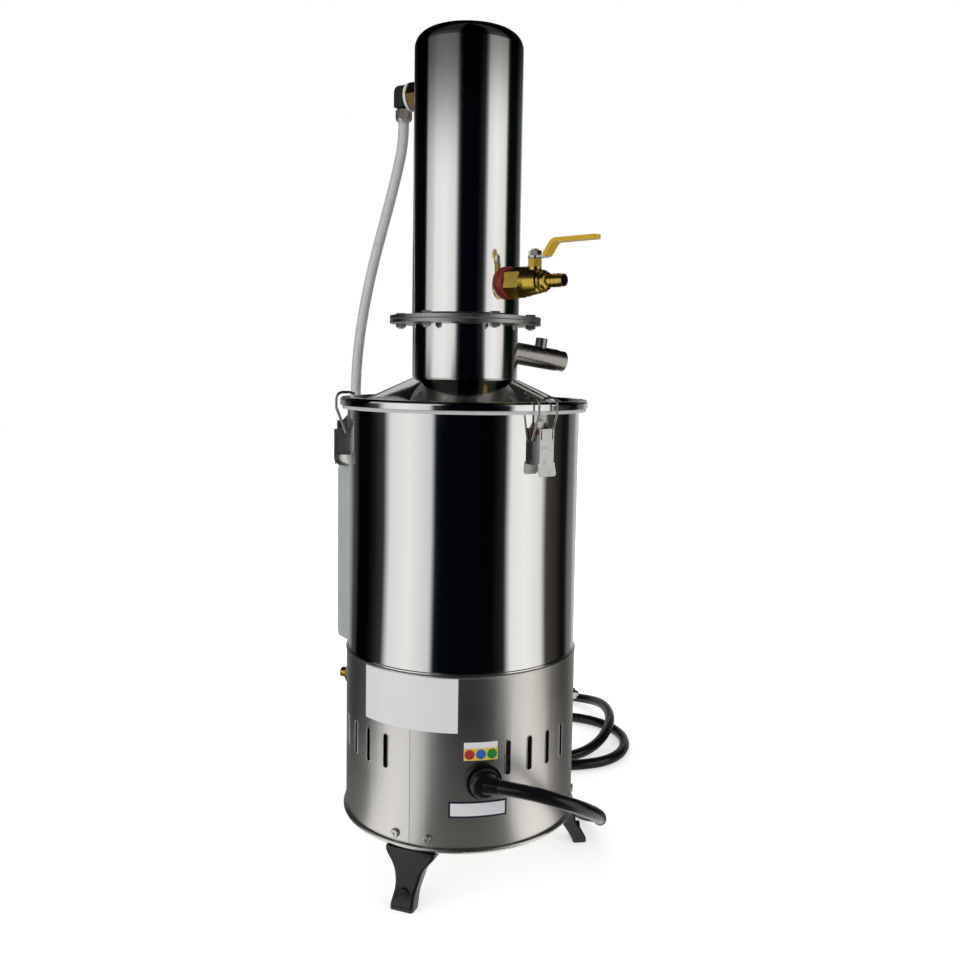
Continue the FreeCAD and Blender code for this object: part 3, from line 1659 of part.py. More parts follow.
def make_latch_bail():
    """One bent wire: hook, arm, the bar through the lever, arm and hook."""
    arm = [(hook_tip_reach, hook_top - hook_tip_drop), (hook_inner, hook_top),
           (hook_outer, hook_top), (hook_outer, hook_top - 2 * hook_bend),
           (bail_reach, bail_level)]
    left = [front(reach, level, -bail_half) for reach, level in arm]
    right = [front(reach, level, bail_half) for reach, level in reversed(arm)]
    bends = [hook_bend * share for share in hook_bend_shares] + [bail_corner]
    path = rounded_path(left + right, bends + list(reversed(bends)))
    return round_tube(path, wire_radius)


save("base_housing", make_base_housing())
save("base_plate", make_base_plate())
save("base_screws", make_base_screws())
save("feet", make_feet())
save("boiler_pot", make_boiler_pot())
save("pot_gasket", make_pot_gasket())
save("lid", make_lid())
save("condenser_neck", make_condenser_neck())
save("distillate_tray", make_distillate_tray())
save("outlet_pipe", make_outlet_pipe())
save("lower_flange", make_lower_flange())
save("flange_gasket", make_flange_gasket())
save("upper_flange", make_upper_flange())
save("flange_bolts", make_flange_bolts())
save("condenser_shell", make_condenser_shell())
save("tube_plates", make_tube_plates())
save("condenser_tubes", make_condenser_tubes())
save("steam_header", make_steam_header())
save("inlet_washer", make_inlet_washer())
save("valve_body", make_valve_body())
save("hose_barb", make_hose_barb())
save("valve_ball", make_valve_ball())
save("valve_stem", make_valve_stem())
save("gland_nut", make_gland_nut())
save("handle_nut", make_handle_nut())
save("valve_handle", make_valve_handle())
save("handle_sleeve", make_handle_sleeve())
save("elbow_nut", make_elbow_nut())
save("elbow_washer", make_elbow_washer())
save("elbow_body", make_elbow_body())
save("hose_nut", make_hose_nut())
save("return_hose", make_return_hose())
save("feed_cup", make_feed_cup())
save("box_body", make_box_body())
save("box_cover", make_box_cover())
save("cover_screws", make_cover_screws())
save("button_bezels", make_button_bezels())
save("start_button", make_button(-1))
save("stop_button", make_button(1))
save("pilot_lamp", make_pilot_lamp())
save("contactor", make_contactor())
save("wiring_conduit", make_wiring_conduit())
save("heaters", make_heaters())
save("heater_nuts", make_heater_nuts())
save("thermostat", make_thermostat())
save("drain_valve", make_drain_valve())
save("drain_handle", make_drain_handle())
save("earth_terminal", make_earth_terminal())
save("cable_gland", make_cable_gland())
save("power_cord", make_power_cord())
save("cord_loops", make_cord_loops())
save("cord_cores", make_cord_cores())
save("latch_plates", make_latch_plates())
save("latch_rivets", make_latch_rivets())
lever = make_latch_lever()
bail = make_latch_bail()
for number, azimuth in enumerate(latch_azimuths, start=1):
    save("latch_lever_" + str(number), turned_to(lever, azimuth))
    save("latch_bail_" + str(number), turned_to(bail, azimuth))
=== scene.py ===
# %% [markdown]
# # A bench water distiller in polished steel
# The CAD model gives the metalwork: a boiler on three feet, a clamped lid and a tall condenser.
# This lesson dresses it. It sets up the camera and the light first, then the finishes, and then
# the pieces that are soft, thin or only a surface: the mains cable, the hose and the stickers.
# All lengths are in metres, in the frame of the CAD model, with the origin on the boiler's axis.

# %% Load the frame
import json
import math

import bpy
import numpy as np
from mathutils import Matrix, Vector


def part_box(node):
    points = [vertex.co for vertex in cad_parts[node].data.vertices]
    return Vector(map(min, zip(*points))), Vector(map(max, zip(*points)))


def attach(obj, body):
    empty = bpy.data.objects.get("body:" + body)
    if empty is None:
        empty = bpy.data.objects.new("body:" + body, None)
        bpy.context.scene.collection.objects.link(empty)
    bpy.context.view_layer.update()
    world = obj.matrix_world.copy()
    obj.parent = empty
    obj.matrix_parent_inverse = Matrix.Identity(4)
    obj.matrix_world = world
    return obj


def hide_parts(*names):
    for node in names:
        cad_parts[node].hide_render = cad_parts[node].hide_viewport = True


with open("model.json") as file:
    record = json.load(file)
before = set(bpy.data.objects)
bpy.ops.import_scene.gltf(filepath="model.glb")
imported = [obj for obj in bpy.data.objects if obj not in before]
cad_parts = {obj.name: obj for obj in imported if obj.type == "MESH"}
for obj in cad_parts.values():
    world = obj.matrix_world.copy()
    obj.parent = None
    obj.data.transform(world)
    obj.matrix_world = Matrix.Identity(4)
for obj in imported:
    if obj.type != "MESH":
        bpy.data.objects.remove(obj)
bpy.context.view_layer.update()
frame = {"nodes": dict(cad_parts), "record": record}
nodes = frame["nodes"]
scene = bpy.context.scene
full_turn = 360
half_turn = 180

# %% [markdown]
# ## Places round the axis
# Nearly every piece sits on a cylinder, so a place is an azimuth, a radius and a height. An
# azimuth of 0 faces the camera's side, -Y, and grows towards +X. The helper takes whole arrays,
# so that one call can place every point of a surface.

# %% Helpers for places


def polar(azimuth, radius, height):
    """Points from azimuth in degrees, radius and height: x = r sin a, y = -r cos a, z = h."""
    angle = np.radians(np.asarray(azimuth, float))
    radius = np.asarray(radius, float)
    height = np.asarray(height, float)
    x, y, z = np.broadcast_arrays(radius * np.sin(angle), -radius * np.cos(angle), height)
    return np.stack([x, y, z], axis=-1)


def around(points):
    """Evenly spaced azimuths of a full turn, without the last one, which is the first again."""
    return np.linspace(0, full_turn, points, endpoint=False)


def section_angles(points):
    """Angles round a tube's section, taken backwards, so that its faces point outwards."""
    return np.radians(-around(points))


print("a quarter turn to the right:", polar(90, 1, 0).round(3).tolist())

# %% [markdown]
# ## The camera
# The photograph was taken from close by, a little above the middle, so the verticals run
# together downwards. The camera stands where a fit of the photographed circles put it, with the
# small turns of a camera held by hand. The shift stands for the photograph's crop.

# %% Camera
camera_place = (0.0, -0.8984, 0.4627)
camera_pitch = math.radians(5.44)
camera_yaw = math.radians(1.46)
camera_roll = math.radians(0.95)
photo_width = 960
focal_pixels = 963.9
sensor_width = 36.0
optical_axis_pixel = (488.0, 459.1)
nearest_seen = 0.01
farthest_seen = 50


def camera_axes(pitch, yaw, roll):
    """Forward from yaw and pitch, then right and up turned about it by the roll."""
    ahead = math.cos(pitch)
    forward = Vector((math.sin(yaw) * ahead, math.cos(yaw) * ahead, -math.sin(pitch)))
    level = Vector((math.cos(yaw), -math.sin(yaw), 0))
    upright = level.cross(forward)
    right = level * math.cos(roll) + upright * math.sin(roll)
    up = upright * math.cos(roll) - level * math.sin(roll)
    return forward, right, up


def make_camera():
    """The camera looks along its own -Z, so its axes are right, up and backwards."""
    data = bpy.data.cameras.new("camera")
    data.sensor_width = sensor_width
    data.lens = focal_pixels / photo_width * sensor_width
    data.shift_x = (photo_width / 2 - optical_axis_pixel[0]) / photo_width
    data.shift_y = (optical_axis_pixel[1] - photo_width / 2) / photo_width
    data.clip_start = nearest_seen
    data.clip_end = farthest_seen
    camera = bpy.data.objects.new("camera", data)
    scene.collection.objects.link(camera)
    forward, right, up = camera_axes(camera_pitch, camera_yaw, camera_roll)
    turn = Matrix((right, up, -forward)).transposed().to_4x4()
    camera.matrix_world = Matrix.Translation(camera_place) @ turn
    scene.camera = camera
    return camera


camera = make_camera()
print("camera lens", round(camera.data.lens, 2))

# %% [markdown]
# ## Meshes from arrays
# A surface is a grid of points, rows by columns. Each cell of the grid is one four-sided face,
# and a grid can close on itself along either side, as a tube does. The arrays go into the mesh
# in one step, with no loop over its points.

# %% Mesh helpers


def grid_faces(rows, columns, wrap_rows, wrap_columns):
    """Corner numbers of a grid's cells: row times columns, plus column, at each corner.

    The remainder joins the last row or column to the first. The corners run so that a face
    points along its columns' direction crossed with its rows'."""
    r = np.arange(rows if wrap_rows else rows - 1)
    c = np.arange(columns if wrap_columns else columns - 1)
    r, c = np.meshgrid(r, c, indexing="ij")
    r2 = (r + 1) % rows
    c2 = (c + 1) % columns
    corners = [r * columns + c, r * columns + c2, r2 * columns + c2, r2 * columns + c]
    return np.stack(corners, axis=-1).reshape(-1, 4)


def mesh_piece(name, points, faces, material, body="distiller"):
    """A smooth-shaded object at the origin, which rides the named body if there is one."""
    mesh = bpy.data.meshes.new(name)
    mesh.from_pydata(np.asarray(points).reshape(-1, 3).tolist(), [], [list(f) for f in faces])
    mesh.validate()
    mesh.polygons.foreach_set("use_smooth", [True] * len(mesh.polygons))
    mesh.materials.append(material)
    piece = bpy.data.objects.new(name, mesh)
    scene.collection.objects.link(piece)
    if body:
        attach(piece, body)
    return piece


def grid_piece(name, points, material, wrap=(False, False), **options):
    """A piece from rows by columns of points, closed along the sides that wrap says."""
    rows, columns = points.shape[:2]
    return mesh_piece(name, points, grid_faces(rows, columns, *wrap), material, **options)


print("a tube of 4 rings by 6 points has", len(grid_faces(4, 6, False, True)), "faces")

# %% [markdown]
# ## The stage
# The floor is pale and plain, and so is everything behind it. Polished steel shows its
# surroundings rather than itself: in the photograph two bright walls and a dark room stand in
# it as upright bands. The stage has soft lamps for the light, and a drum round the object that
# only reflections can see, with those bands on it.

# %% Floor and world
floor_rings = np.array([0.0001, 0.2, 0.6, 2.0, 6.0])
floor_steps = 96
floor_colour = (0.86, 0.86, 0.86, 1)
white = (1, 1, 1, 1)
# The floor's lift towards white grows between two distances, from this share near the object
floor_near = 0.25
floor_far = 1.3
floor_near_glow = 0.52
world_as_light = 0.55
world_as_seen = 1.0


def stage_material(name):
    """A material with an empty node tree, and its nodes and links."""
    material = bpy.data.materials.new(name)
    material.use_nodes = True
    material.node_tree.nodes.clear()
    return material, material.node_tree.nodes, material.node_tree.links


def seen_directly(tree, links):
    """1 for the rays that show a surface: from the camera, off a gloss or through a clear thing."""
    path = tree.new("ShaderNodeLightPath")
    either = tree.new("ShaderNodeMath")
    either.operation = "MAXIMUM"
    any_of = tree.new("ShaderNodeMath")
    any_of.operation = "MAXIMUM"
    links.new(path.outputs["Is Camera Ray"], either.inputs[0])
    links.new(path.outputs["Is Glossy Ray"], either.inputs[1])
    links.new(either.outputs[0], any_of.inputs[0])
    links.new(path.outputs["Is Transmission Ray"], any_of.inputs[1])
    return any_of.outputs[0]


def floor_material():
    """A pale matt floor. It is lifted towards white the further it lies from the object, but
    only for the rays that show it, so that the object still stands on its own shadow."""
    material, tree, links = stage_material("stage_floor")
    diffuse = tree.new("ShaderNodeBsdfDiffuse")
    diffuse.inputs["Color"].default_value = floor_colour
    glow = tree.new("ShaderNodeEmission")
    glow.inputs["Color"].default_value = white
    where = tree.new("ShaderNodeTexCoord")
    far = tree.new("ShaderNodeVectorMath")
    far.operation = "LENGTH"
    rise = tree.new("ShaderNodeMapRange")
    rise.interpolation_type = "SMOOTHSTEP"
    rise.inputs["From Min"].default_value = floor_near
    rise.inputs["From Max"].default_value = floor_far
    rise.inputs["To Min"].default_value = floor_near_glow
    rise.inputs["To Max"].default_value = 1
    lift = tree.new("ShaderNodeMath")
    lift.operation = "MULTIPLY"
    both = tree.new("ShaderNodeAddShader")
    out = tree.new("ShaderNodeOutputMaterial")
    links.new(where.outputs["Object"], far.inputs[0])
    links.new(far.outputs["Value"], rise.inputs["Value"])
    links.new(rise.outputs[0], lift.inputs[0])
    links.new(seen_directly(tree, links), lift.inputs[1])
    links.new(lift.outputs[0], glow.inputs["Strength"])
    links.new(diffuse.outputs[0], both.inputs[0])
    links.new(glow.outputs[0], both.inputs[1])
    links.new(both.outputs[0], out.inputs["Surface"])
    return material


def make_floor():
    """A flat disc: azimuth by radius, all at height 0."""
    points = polar(around(floor_steps)[None, :], floor_rings[:, None], 0.0)
    floor = grid_piece("stage_floor", points, floor_material(), (False, True), body=None)
    return floor


def make_world():
    """White to the camera and in reflections, and a softer grey as light."""
    world = bpy.data.worlds.new("studio")
    world.use_nodes = True
    tree = world.node_tree.nodes
    links = world.node_tree.links
    back = tree["Background"]
    level = tree.new("ShaderNodeMapRange")
    level.inputs["To Min"].default_value = world_as_light
    level.inputs["To Max"].default_value = world_as_seen
    links.new(seen_directly(tree, links), level.inputs["Value"])
    links.new(level.outputs[0], back.inputs["Strength"])
    back.inputs["Color"].default_value = white
    scene.world = world


make_floor()
make_world()
scene.view_settings.view_transform = "Standard"
print("floor", floor_rings[-1], "m, view", scene.view_settings.view_transform)

# %% [markdown]
# ## The lamps
# The light is soft and plain: two upright soft boxes at the sides and one behind. A sun would
# light it as well, but with hard shadows. The lamps stay out of reflections, because the steel
# shows the room's bands, and a lamp would put another band across them.

# %% Soft lamps
lamp_distance = 1.7
# Each lamp: azimuth of its middle, half of the angle that it fills, lowest, highest, brightness
lamps = {
    "lamp_left": (-57.0, 31.0, 0.0, 1.35, 1.15),
    "lamp_right": (64.0, 21.0, 0.0, 1.35, 1.25),
    "lamp_back": (180.0, 18.0, 0.0, 1.6, 1.1),
}


def make_lamp(name, azimuth, half_angle, low, high, brightness):
    """An upright soft box that faces the axis; its power follows from its area."""
    width = 2 * lamp_distance * math.tan(math.radians(half_angle))
    height = high - low
    data = bpy.data.lights.new(name, "AREA")
    data.shape = "RECTANGLE"
    data.size = width
    data.size_y = height
    data.energy = brightness * math.pi * width * height
    lamp = bpy.data.objects.new(name, data)
    scene.collection.objects.link(lamp)
    place = polar(azimuth, lamp_distance, (low + high) / 2)
    facing = Vector(-polar(azimuth, 1.0, 0.0))
    turn = facing.to_track_quat("-Z", "Z").to_matrix().to_4x4()
    lamp.matrix_world = Matrix.Translation(place) @ turn
    lamp.visible_glossy = False


for name, facts in lamps.items():
    make_lamp(name, *facts)
print("lamps", len(lamps))

# %% [markdown]
# ## The room in the steel
# A mirror is only as good as the room it stands in. The room here is two pale walls, at the left
# and the right of the camera, with a dark room between and behind them. It could be modelled as
# boards, but then each view would need its own. A drum with soft upright bands does the same from
# all sides. Each band is an azimuth and a brightness, chosen so that the bright and dark
# stripes fall where they do on the real thing.

# %% Bands round the object
# Each band: azimuth, then its colour there. The lower ones stand in the boiler, the upper
# ones in the condenser, and they change over between two heights.
low_bands = (
    (-180, (0.600, 0.600, 0.600)),
    (-165, (0.480, 0.480, 0.480)),
    (-142, (0.240, 0.240, 0.240)),
    (-136, (0.070, 0.070, 0.070)),
    (-128, (0.040, 0.040, 0.041)),
    (-121, (0.001, 0.001, 0.002)),
    (-103, (0.001, 0.001, 0.002)),
    (-94, (0.008, 0.009, 0.010)),
    (-81, (0.040, 0.041, 0.043)),
    (-73, (0.860, 0.865, 0.875)),
    (-52, (1.000, 1.000, 1.000)),
    (-30, (0.720, 0.735, 0.760)),
    (-26, (0.006, 0.008, 0.012)),
    (-20, (0.001, 0.002, 0.004)),
    (28, (0.001, 0.001, 0.002)),
    (40, (0.014, 0.014, 0.016)),
    (46, (0.940, 0.945, 0.950)),
    (62, (1.050, 1.045, 1.035)),
    (80, (0.860, 0.850, 0.820)),
    (87, (0.060, 0.055, 0.048)),
    (104, (0.026, 0.024, 0.020)),
    (112, (0.005, 0.006, 0.005)),
    (121, (0.010, 0.011, 0.010)),
    (127, (0.130, 0.132, 0.130)),
    (139, (0.230, 0.230, 0.226)),
    (148, (0.560, 0.560, 0.555)),
    (180, (0.600, 0.600, 0.600)),
)
high_bands = (
    (-180, (0.030, 0.030, 0.032)),
    (-166, (0.120, 0.120, 0.122)),
    (-150, (0.100, 0.100, 0.102)),
    (-141, (0.012, 0.012, 0.013)),
    (-128, (0.002, 0.002, 0.003)),
    (-95, (0.001, 0.001, 0.002)),
    (-90, (0.560, 0.570, 0.590)),
    (-76, (0.700, 0.710, 0.730)),
    (-68, (0.940, 0.945, 0.955)),
    (-45, (1.000, 1.000, 1.000)),
    (-24, (0.820, 0.835, 0.860)),
    (-17, (0.060, 0.064, 0.072)),
    (-12, (0.001, 0.002, 0.004)),
    (22, (0.001, 0.001, 0.002)),
    (35, (0.018, 0.019, 0.022)),
    (40, (0.200, 0.205, 0.210)),
    (45, (0.860, 0.865, 0.870)),
    (62, (1.050, 1.045, 1.035)),
    (86, (0.860, 0.850, 0.820)),
    (92, (0.030, 0.030, 0.024)),
    (98, (0.001, 0.003, 0.002)),
    (122, (0.002, 0.005, 0.003)),
    (132, (0.040, 0.044, 0.040)),
    (150, (0.110, 0.114, 0.110)),
    (160, (0.480, 0.480, 0.470)),
    (168, (0.060, 0.060, 0.062)),
    (180, (0.030, 0.030, 0.032)),
)
change_low = 0.34
change_high = 0.56
# Each fade: height, then the share of the band's brightness there. The right wall is taller.
fades = ((0.0, 1.0), (0.98, 1.0), (1.075, 0.84), (1.18, 0.42), (1.29, 0.17), (1.5, 0.06), (2.4, 0.02))
right_rise = 0.11
print("bands", len(low_bands), "low and", len(high_bands), "high")

# %% The drum's glow
drum_height = 2.4
# The mat close to the feet glows a little, whatever the band
near_glow = 0.13
near_start = 0.16
near_end = 0.6
near_colour = (1.0, 0.99, 0.95, 1)


def fill_ramp(ramp, stops):
    """Give a colour ramp its stops, each a place from 0 to 1 and a colour."""
    elements = ramp.elements
    while len(elements) < len(stops):
        elements.new(0.5)
    for element, (place, colour) in zip(elements, stops):
        element.position = place
        element.color = (*colour, 1)


def drum_material():
    """A glow that reads its band from the azimuth, and fades with the height.

    The azimuth is the arc tangent of x over -y, as in polar. Its share of a full turn picks
    the colour from each ramp, and the height blends the two ramps. The fade reads the height
    less what the wall has risen towards the right."""
    material, tree, links = stage_material("stage_drum")
    where = tree.new("ShaderNodeTexCoord")
    parts = tree.new("ShaderNodeSeparateXYZ")
    links.new(where.outputs["Object"], parts.inputs[0])
    behind = tree.new("ShaderNodeMath")
    behind.operation = "MULTIPLY"
    behind.inputs[1].default_value = -1
    links.new(parts.outputs["Y"], behind.inputs[0])
    azimuth = tree.new("ShaderNodeMath")
    azimuth.operation = "ARCTAN2"
    links.new(parts.outputs["X"], azimuth.inputs[0])
    links.new(behind.outputs[0], azimuth.inputs[1])
    share = tree.new("ShaderNodeMapRange")
    share.inputs["From Min"].default_value = -math.pi
    share.inputs["From Max"].default_value = math.pi
    links.new(azimuth.outputs[0], share.inputs["Value"])
    change = tree.new("ShaderNodeMapRange")
    change.interpolation_type = "SMOOTHSTEP"
    change.inputs["From Min"].default_value = change_low
    change.inputs["From Max"].default_value = change_high
    links.new(parts.outputs["Z"], change.inputs["Value"])
    both = tree.new("ShaderNodeMix")
    both.data_type = "RGBA"
    links.new(change.outputs[0], both.inputs["Factor"])
    for side, bands in (("A", low_bands), ("B", high_bands)):
        band = tree.new("ShaderNodeValToRGB")
        stops = [((turn + half_turn) / full_turn, colour) for turn, colour in bands]
        fill_ramp(band.color_ramp, stops)
        links.new(share.outputs[0], band.inputs["Fac"])
        links.new(band.outputs["Color"], both.inputs[side])
    up = tree.new("ShaderNodeMapRange")
    up.inputs["From Max"].default_value = drum_height
    rise = tree.new("ShaderNodeMapRange")
    rise.inputs["From Min"].default_value = -right_rise
    rise.inputs["From Max"].default_value = right_rise
    rise.inputs["To Max"].default_value = right_rise
    links.new(parts.outputs["X"], rise.inputs["Value"])
    sunk = tree.new("ShaderNodeMath")
    sunk.operation = "SUBTRACT"
    links.new(parts.outputs["Z"], sunk.inputs[0])
    links.new(rise.outputs[0], sunk.inputs[1])
    links.new(sunk.outputs[0], up.inputs["Value"])
    fade = tree.new("ShaderNodeValToRGB")
    fill_ramp(fade.color_ramp, [(level / drum_height, (kept,) * 3) for level, kept in fades])
    links.new(up.outputs[0], fade.inputs["Fac"])
    glow = tree.new("ShaderNodeEmission")
    links.new(both.outputs["Result"], glow.inputs["Color"])
    links.new(fade.outputs["Color"], glow.inputs["Strength"])
    far = tree.new("ShaderNodeVectorMath")
    far.operation = "LENGTH"
    links.new(where.outputs["Object"], far.inputs[0])
    close = tree.new("ShaderNodeMapRange")
    close.interpolation_type = "SMOOTHSTEP"
    close.inputs["From Min"].default_value = near_start
    close.inputs["From Max"].default_value = near_end
    close.inputs["To Min"].default_value = near_glow
    close.inputs["To Max"].default_value = 0
    links.new(far.outputs["Value"], close.inputs["Value"])
    around_feet = tree.new("ShaderNodeEmission")
    around_feet.inputs["Color"].default_value = near_colour
    links.new(close.outputs[0], around_feet.inputs["Strength"])
    all_glow = tree.new("ShaderNodeAddShader")
    links.new(glow.outputs[0], all_glow.inputs[0])
    links.new(around_feet.outputs[0], all_glow.inputs[1])
    out = tree.new("ShaderNodeOutputMaterial")
    links.new(all_glow.outputs[0], out.inputs["Surface"])
    return material


# %% Drum and card
drum_radius = 1.9
drum_columns = 144
drum_pole = 0.001
mat_start = 0.13
mat_lift = 0.002
card_radius = 1.8
card_columns = 13
# Each card: azimuths at its sides, heights of its edges, brightness
cards = {"card_back": ((164, 197), (0.80, 1.5), 0.55)}


def card_material(name, brightness):
    """A plain even glow."""
    material, tree, links = stage_material(name)
    glow = tree.new("ShaderNodeEmission")
    glow.inputs["Strength"].default_value = brightness
    out = tree.new("ShaderNodeOutputMaterial")
    links.new(glow.outputs[0], out.inputs["Surface"])
    return material


def only_reflected(piece):
    """Stage that only glossy rays meet, so that it lights nothing and hides nothing."""
    piece.visible_camera = False
    piece.visible_diffuse = False
    piece.visible_shadow = False
    piece.visible_transmission = False


def make_drum():
    """A mat on the floor that turns up into a round wall and closes in a lid: a profile of
    radius and height, carried round the axis."""
    radius = np.array([mat_start, drum_radius, drum_radius, drum_pole])
    height = np.array([mat_lift, mat_lift, drum_height, drum_height])
    points = polar(around(drum_columns)[None, :], radius[:, None], height[:, None])
    only_reflected(grid_piece("stage_drum", points, drum_material(), (False, True), body=None))


def make_card(name, sides, edges, brightness):
    """A bent board: azimuth by height, all at one radius."""
    azimuth = np.linspace(*sides, card_columns)
    height = np.array(edges)
    points = polar(azimuth[None, :], card_radius, height[:, None])
    only_reflected(grid_piece(name, points, card_material(name, brightness), body=None))


make_drum()
for name, facts in cards.items():
    make_card(name, *facts)
print("cards", list(cards))

# %% [markdown]
# ## Finishes
# Each finish is one Principled shader with a little procedural work behind it: grain, haze and
# handling marks in the roughness, and fine relief in the bump. The patterns read Object
# coordinates, so they stay on the metal in every view.

# %% Shader helpers


class Finish:
    """A material with its shader, and short ways to add what varies over the surface."""

    def __init__(self, name, colour, metallic=0.0, roughness=0.5, **sockets):
        self.material = bpy.data.materials.new(name)
        self.material.use_nodes = True
        self.tree = self.material.node_tree.nodes
        self.links = self.material.node_tree.links
        self.shader = self.tree["Principled BSDF"]
        self.shader.inputs["Base Color"].default_value = (*colour, 1)
        self.shader.inputs["Metallic"].default_value = metallic
        self.shader.inputs["Roughness"].default_value = roughness
        for socket, value in sockets.items():
            self.shader.inputs[socket.replace("_", " ")].default_value = value

    def place(self, scale=(1, 1, 1)):
        """Object coordinates, stretched by the scale."""
        where = self.tree.new("ShaderNodeTexCoord")
        shape = self.tree.new("ShaderNodeMapping")
        shape.inputs["Scale"].default_value = scale
        self.links.new(where.outputs["Object"], shape.inputs["Vector"])
        return shape.outputs["Vector"]

    def noise(self, scale, stretch=(1, 1, 1), detail=3.0, roughness=0.5):
        """Smooth noise of about scale spots a metre; a small stretch draws it out that way."""
        node = self.tree.new("ShaderNodeTexNoise")
        node.inputs["Scale"].default_value = scale
        node.inputs["Detail"].default_value = detail
        node.inputs["Roughness"].default_value = roughness
        self.links.new(self.place(stretch), node.inputs["Vector"])
        return node.outputs["Fac"]

    def ramp(self, value, start, end, low, high):
        """The value from start to end becomes low to high, and stays within them."""
        node = self.tree.new("ShaderNodeMapRange")
        node.inputs["From Min"].default_value = start
        node.inputs["From Max"].default_value = end
        node.inputs["To Min"].default_value = low
        node.inputs["To Max"].default_value = high
        self.links.new(value, node.inputs["Value"])
        return node.outputs[0]

    def add(self, first, second):
        """The sum of two values."""
        node = self.tree.new("ShaderNodeMath")
        node.operation = "ADD"
        self.links.new(first, node.inputs[0])
        self.links.new(second, node.inputs[1])
        return node.outputs[0]

    def blend(self, factor, first, second):
        """From the first colour to the second as the factor goes from 0 to 1."""
        node = self.tree.new("ShaderNodeMix")
        node.data_type = "RGBA"
        node.inputs["A"].default_value = (*first, 1)
        node.inputs["B"].default_value = (*second, 1)
        self.links.new(factor, node.inputs["Factor"])
        return node.outputs["Result"]

    def set(self, socket, value):
        """Link a value that varies to one of the shader's sockets."""
        self.links.new(value, self.shader.inputs[socket])

    def relief(self, height, strength, distance):
        """Bump only: it tilts the light, and the shape stays as it is."""
        node = self.tree.new("ShaderNodeBump")
        node.inputs["Strength"].default_value = strength
        node.inputs["Distance"].default_value = distance
        self.links.new(height, node.inputs["Height"])
        self.set("Normal", node.outputs["Normal"])


# %% [markdown]
# ## Steel
# The boiler, lid and condenser are rolled from mirror sheet, which is never quite a mirror: the
# rolling leaves a grain round the shell, and hands leave a haze. The base is brushed, with finer
# and longer lines. The flanges are cut plate, and the clamps are plated. A photo of steel could
# be laid on instead, but it would show one room for ever, so the roughness does the work.

# %% Polished and brushed steel


def polished_steel():
    """Mirror steel: faint rolled grain round the sheet, cloudy haze and a few dull patches."""
    f = Finish("polished_steel", (0.80, 0.79, 0.77), 1.0, 0.1)
    grain = f.noise(60, (0.15, 0.15, 14), 4, 0.6)
    cloud = f.noise(7, (1, 1, 0.5), 3, 0.55)
    fine = f.ramp(grain, 0.3, 0.7, 0.0, 0.03)
    haze = f.ramp(cloud, 0.35, 0.75, 0.045, 0.11)
    f.set("Roughness", f.add(fine, haze))
    f.set("Base Color", f.blend(cloud, (0.74, 0.73, 0.71), (0.84, 0.83, 0.81)))
    f.relief(grain, 0.012, 0.0005)
    return f.material


def satin_steel():
    """Brushed steel: very fine lines round the shell, over slow changes of tone."""
    f = Finish("satin_steel", (0.58, 0.56, 0.53), 1.0, 0.38)
    lines = f.noise(150, (0.12, 0.12, 16), 3, 0.6)
    cloud = f.noise(8, (1, 1, 2), 3, 0.5)
    fine = f.ramp(lines, 0.3, 0.7, 0.0, 0.05)
    haze = f.ramp(cloud, 0.3, 0.7, 0.29, 0.35)
    f.set("Roughness", f.add(fine, haze))
    tone = f.add(f.ramp(lines, 0.25, 0.75, 0.0, 0.45), f.ramp(cloud, 0.3, 0.7, 0.0, 0.55))
    f.set("Base Color", f.blend(tone, (0.62, 0.60, 0.57), (0.75, 0.73, 0.695)))
    f.relief(lines, 0.005, 0.0002)
    return f.material


def plate_steel():
    """The laser-cut flanges: darker, blotched by pickling, and duller than the shells."""
    f = Finish("plate_steel", (0.32, 0.31, 0.30), 1.0, 0.42)
    blotch = f.noise(70, (1, 1, 1), 4, 0.6)
    grit = f.noise(700, (1, 1, 1), 3, 0.6)
    f.set("Base Color", f.blend(blotch, (0.28, 0.275, 0.265), (0.56, 0.55, 0.53)))
    f.set("Roughness", f.ramp(blotch, 0.3, 0.7, 0.30, 0.52))
    f.relief(grit, 0.05, 0.0002)
    return f.material


def pipe_steel():
    """The outlet pipe: warm grey, with fine lines left by the lathe."""
    f = Finish("pipe_steel", (0.40, 0.38, 0.35), 1.0, 0.3)
    turned = f.noise(700, (1, 1, 0.4), 3, 0.6)
    f.set("Base Color", f.blend(turned, (0.30, 0.28, 0.26), (0.50, 0.48, 0.44)))
    f.set("Roughness", f.ramp(turned, 0.3, 0.7, 0.22, 0.4))
    f.relief(turned, 0.06, 0.0002)
    return f.material


def zinc_steel():
    """Bright zinc gone dull: satin grey with brownish worn patches."""
    f = Finish("zinc_steel", (0.66, 0.655, 0.64), 1.0, 0.36)
    wear = f.noise(160, (1, 1, 1), 3, 0.6)
    speck = f.noise(1200, (1, 1, 1), 2, 0.6)
    patch = f.ramp(wear, 0.55, 0.78, 0.0, 1.0)
    f.set("Base Color", f.blend(patch, (0.70, 0.695, 0.68), (0.44, 0.41, 0.37)))
    f.set("Roughness", f.ramp(speck, 0.3, 0.7, 0.30, 0.42))
    f.relief(speck, 0.02, 0.0002)
    return f.material


def spring_wire():
    """Drawn wire of the clamps' bails: grey, with marks along it."""
    f = Finish("spring_wire", (0.48, 0.465, 0.45), 1.0, 0.22)
    drawn = f.noise(900, (1, 1, 0.2), 2, 0.5)
    f.set("Roughness", f.ramp(drawn, 0.3, 0.7, 0.14, 0.32))
    f.relief(drawn, 0.04, 0.0002)
    return f.material


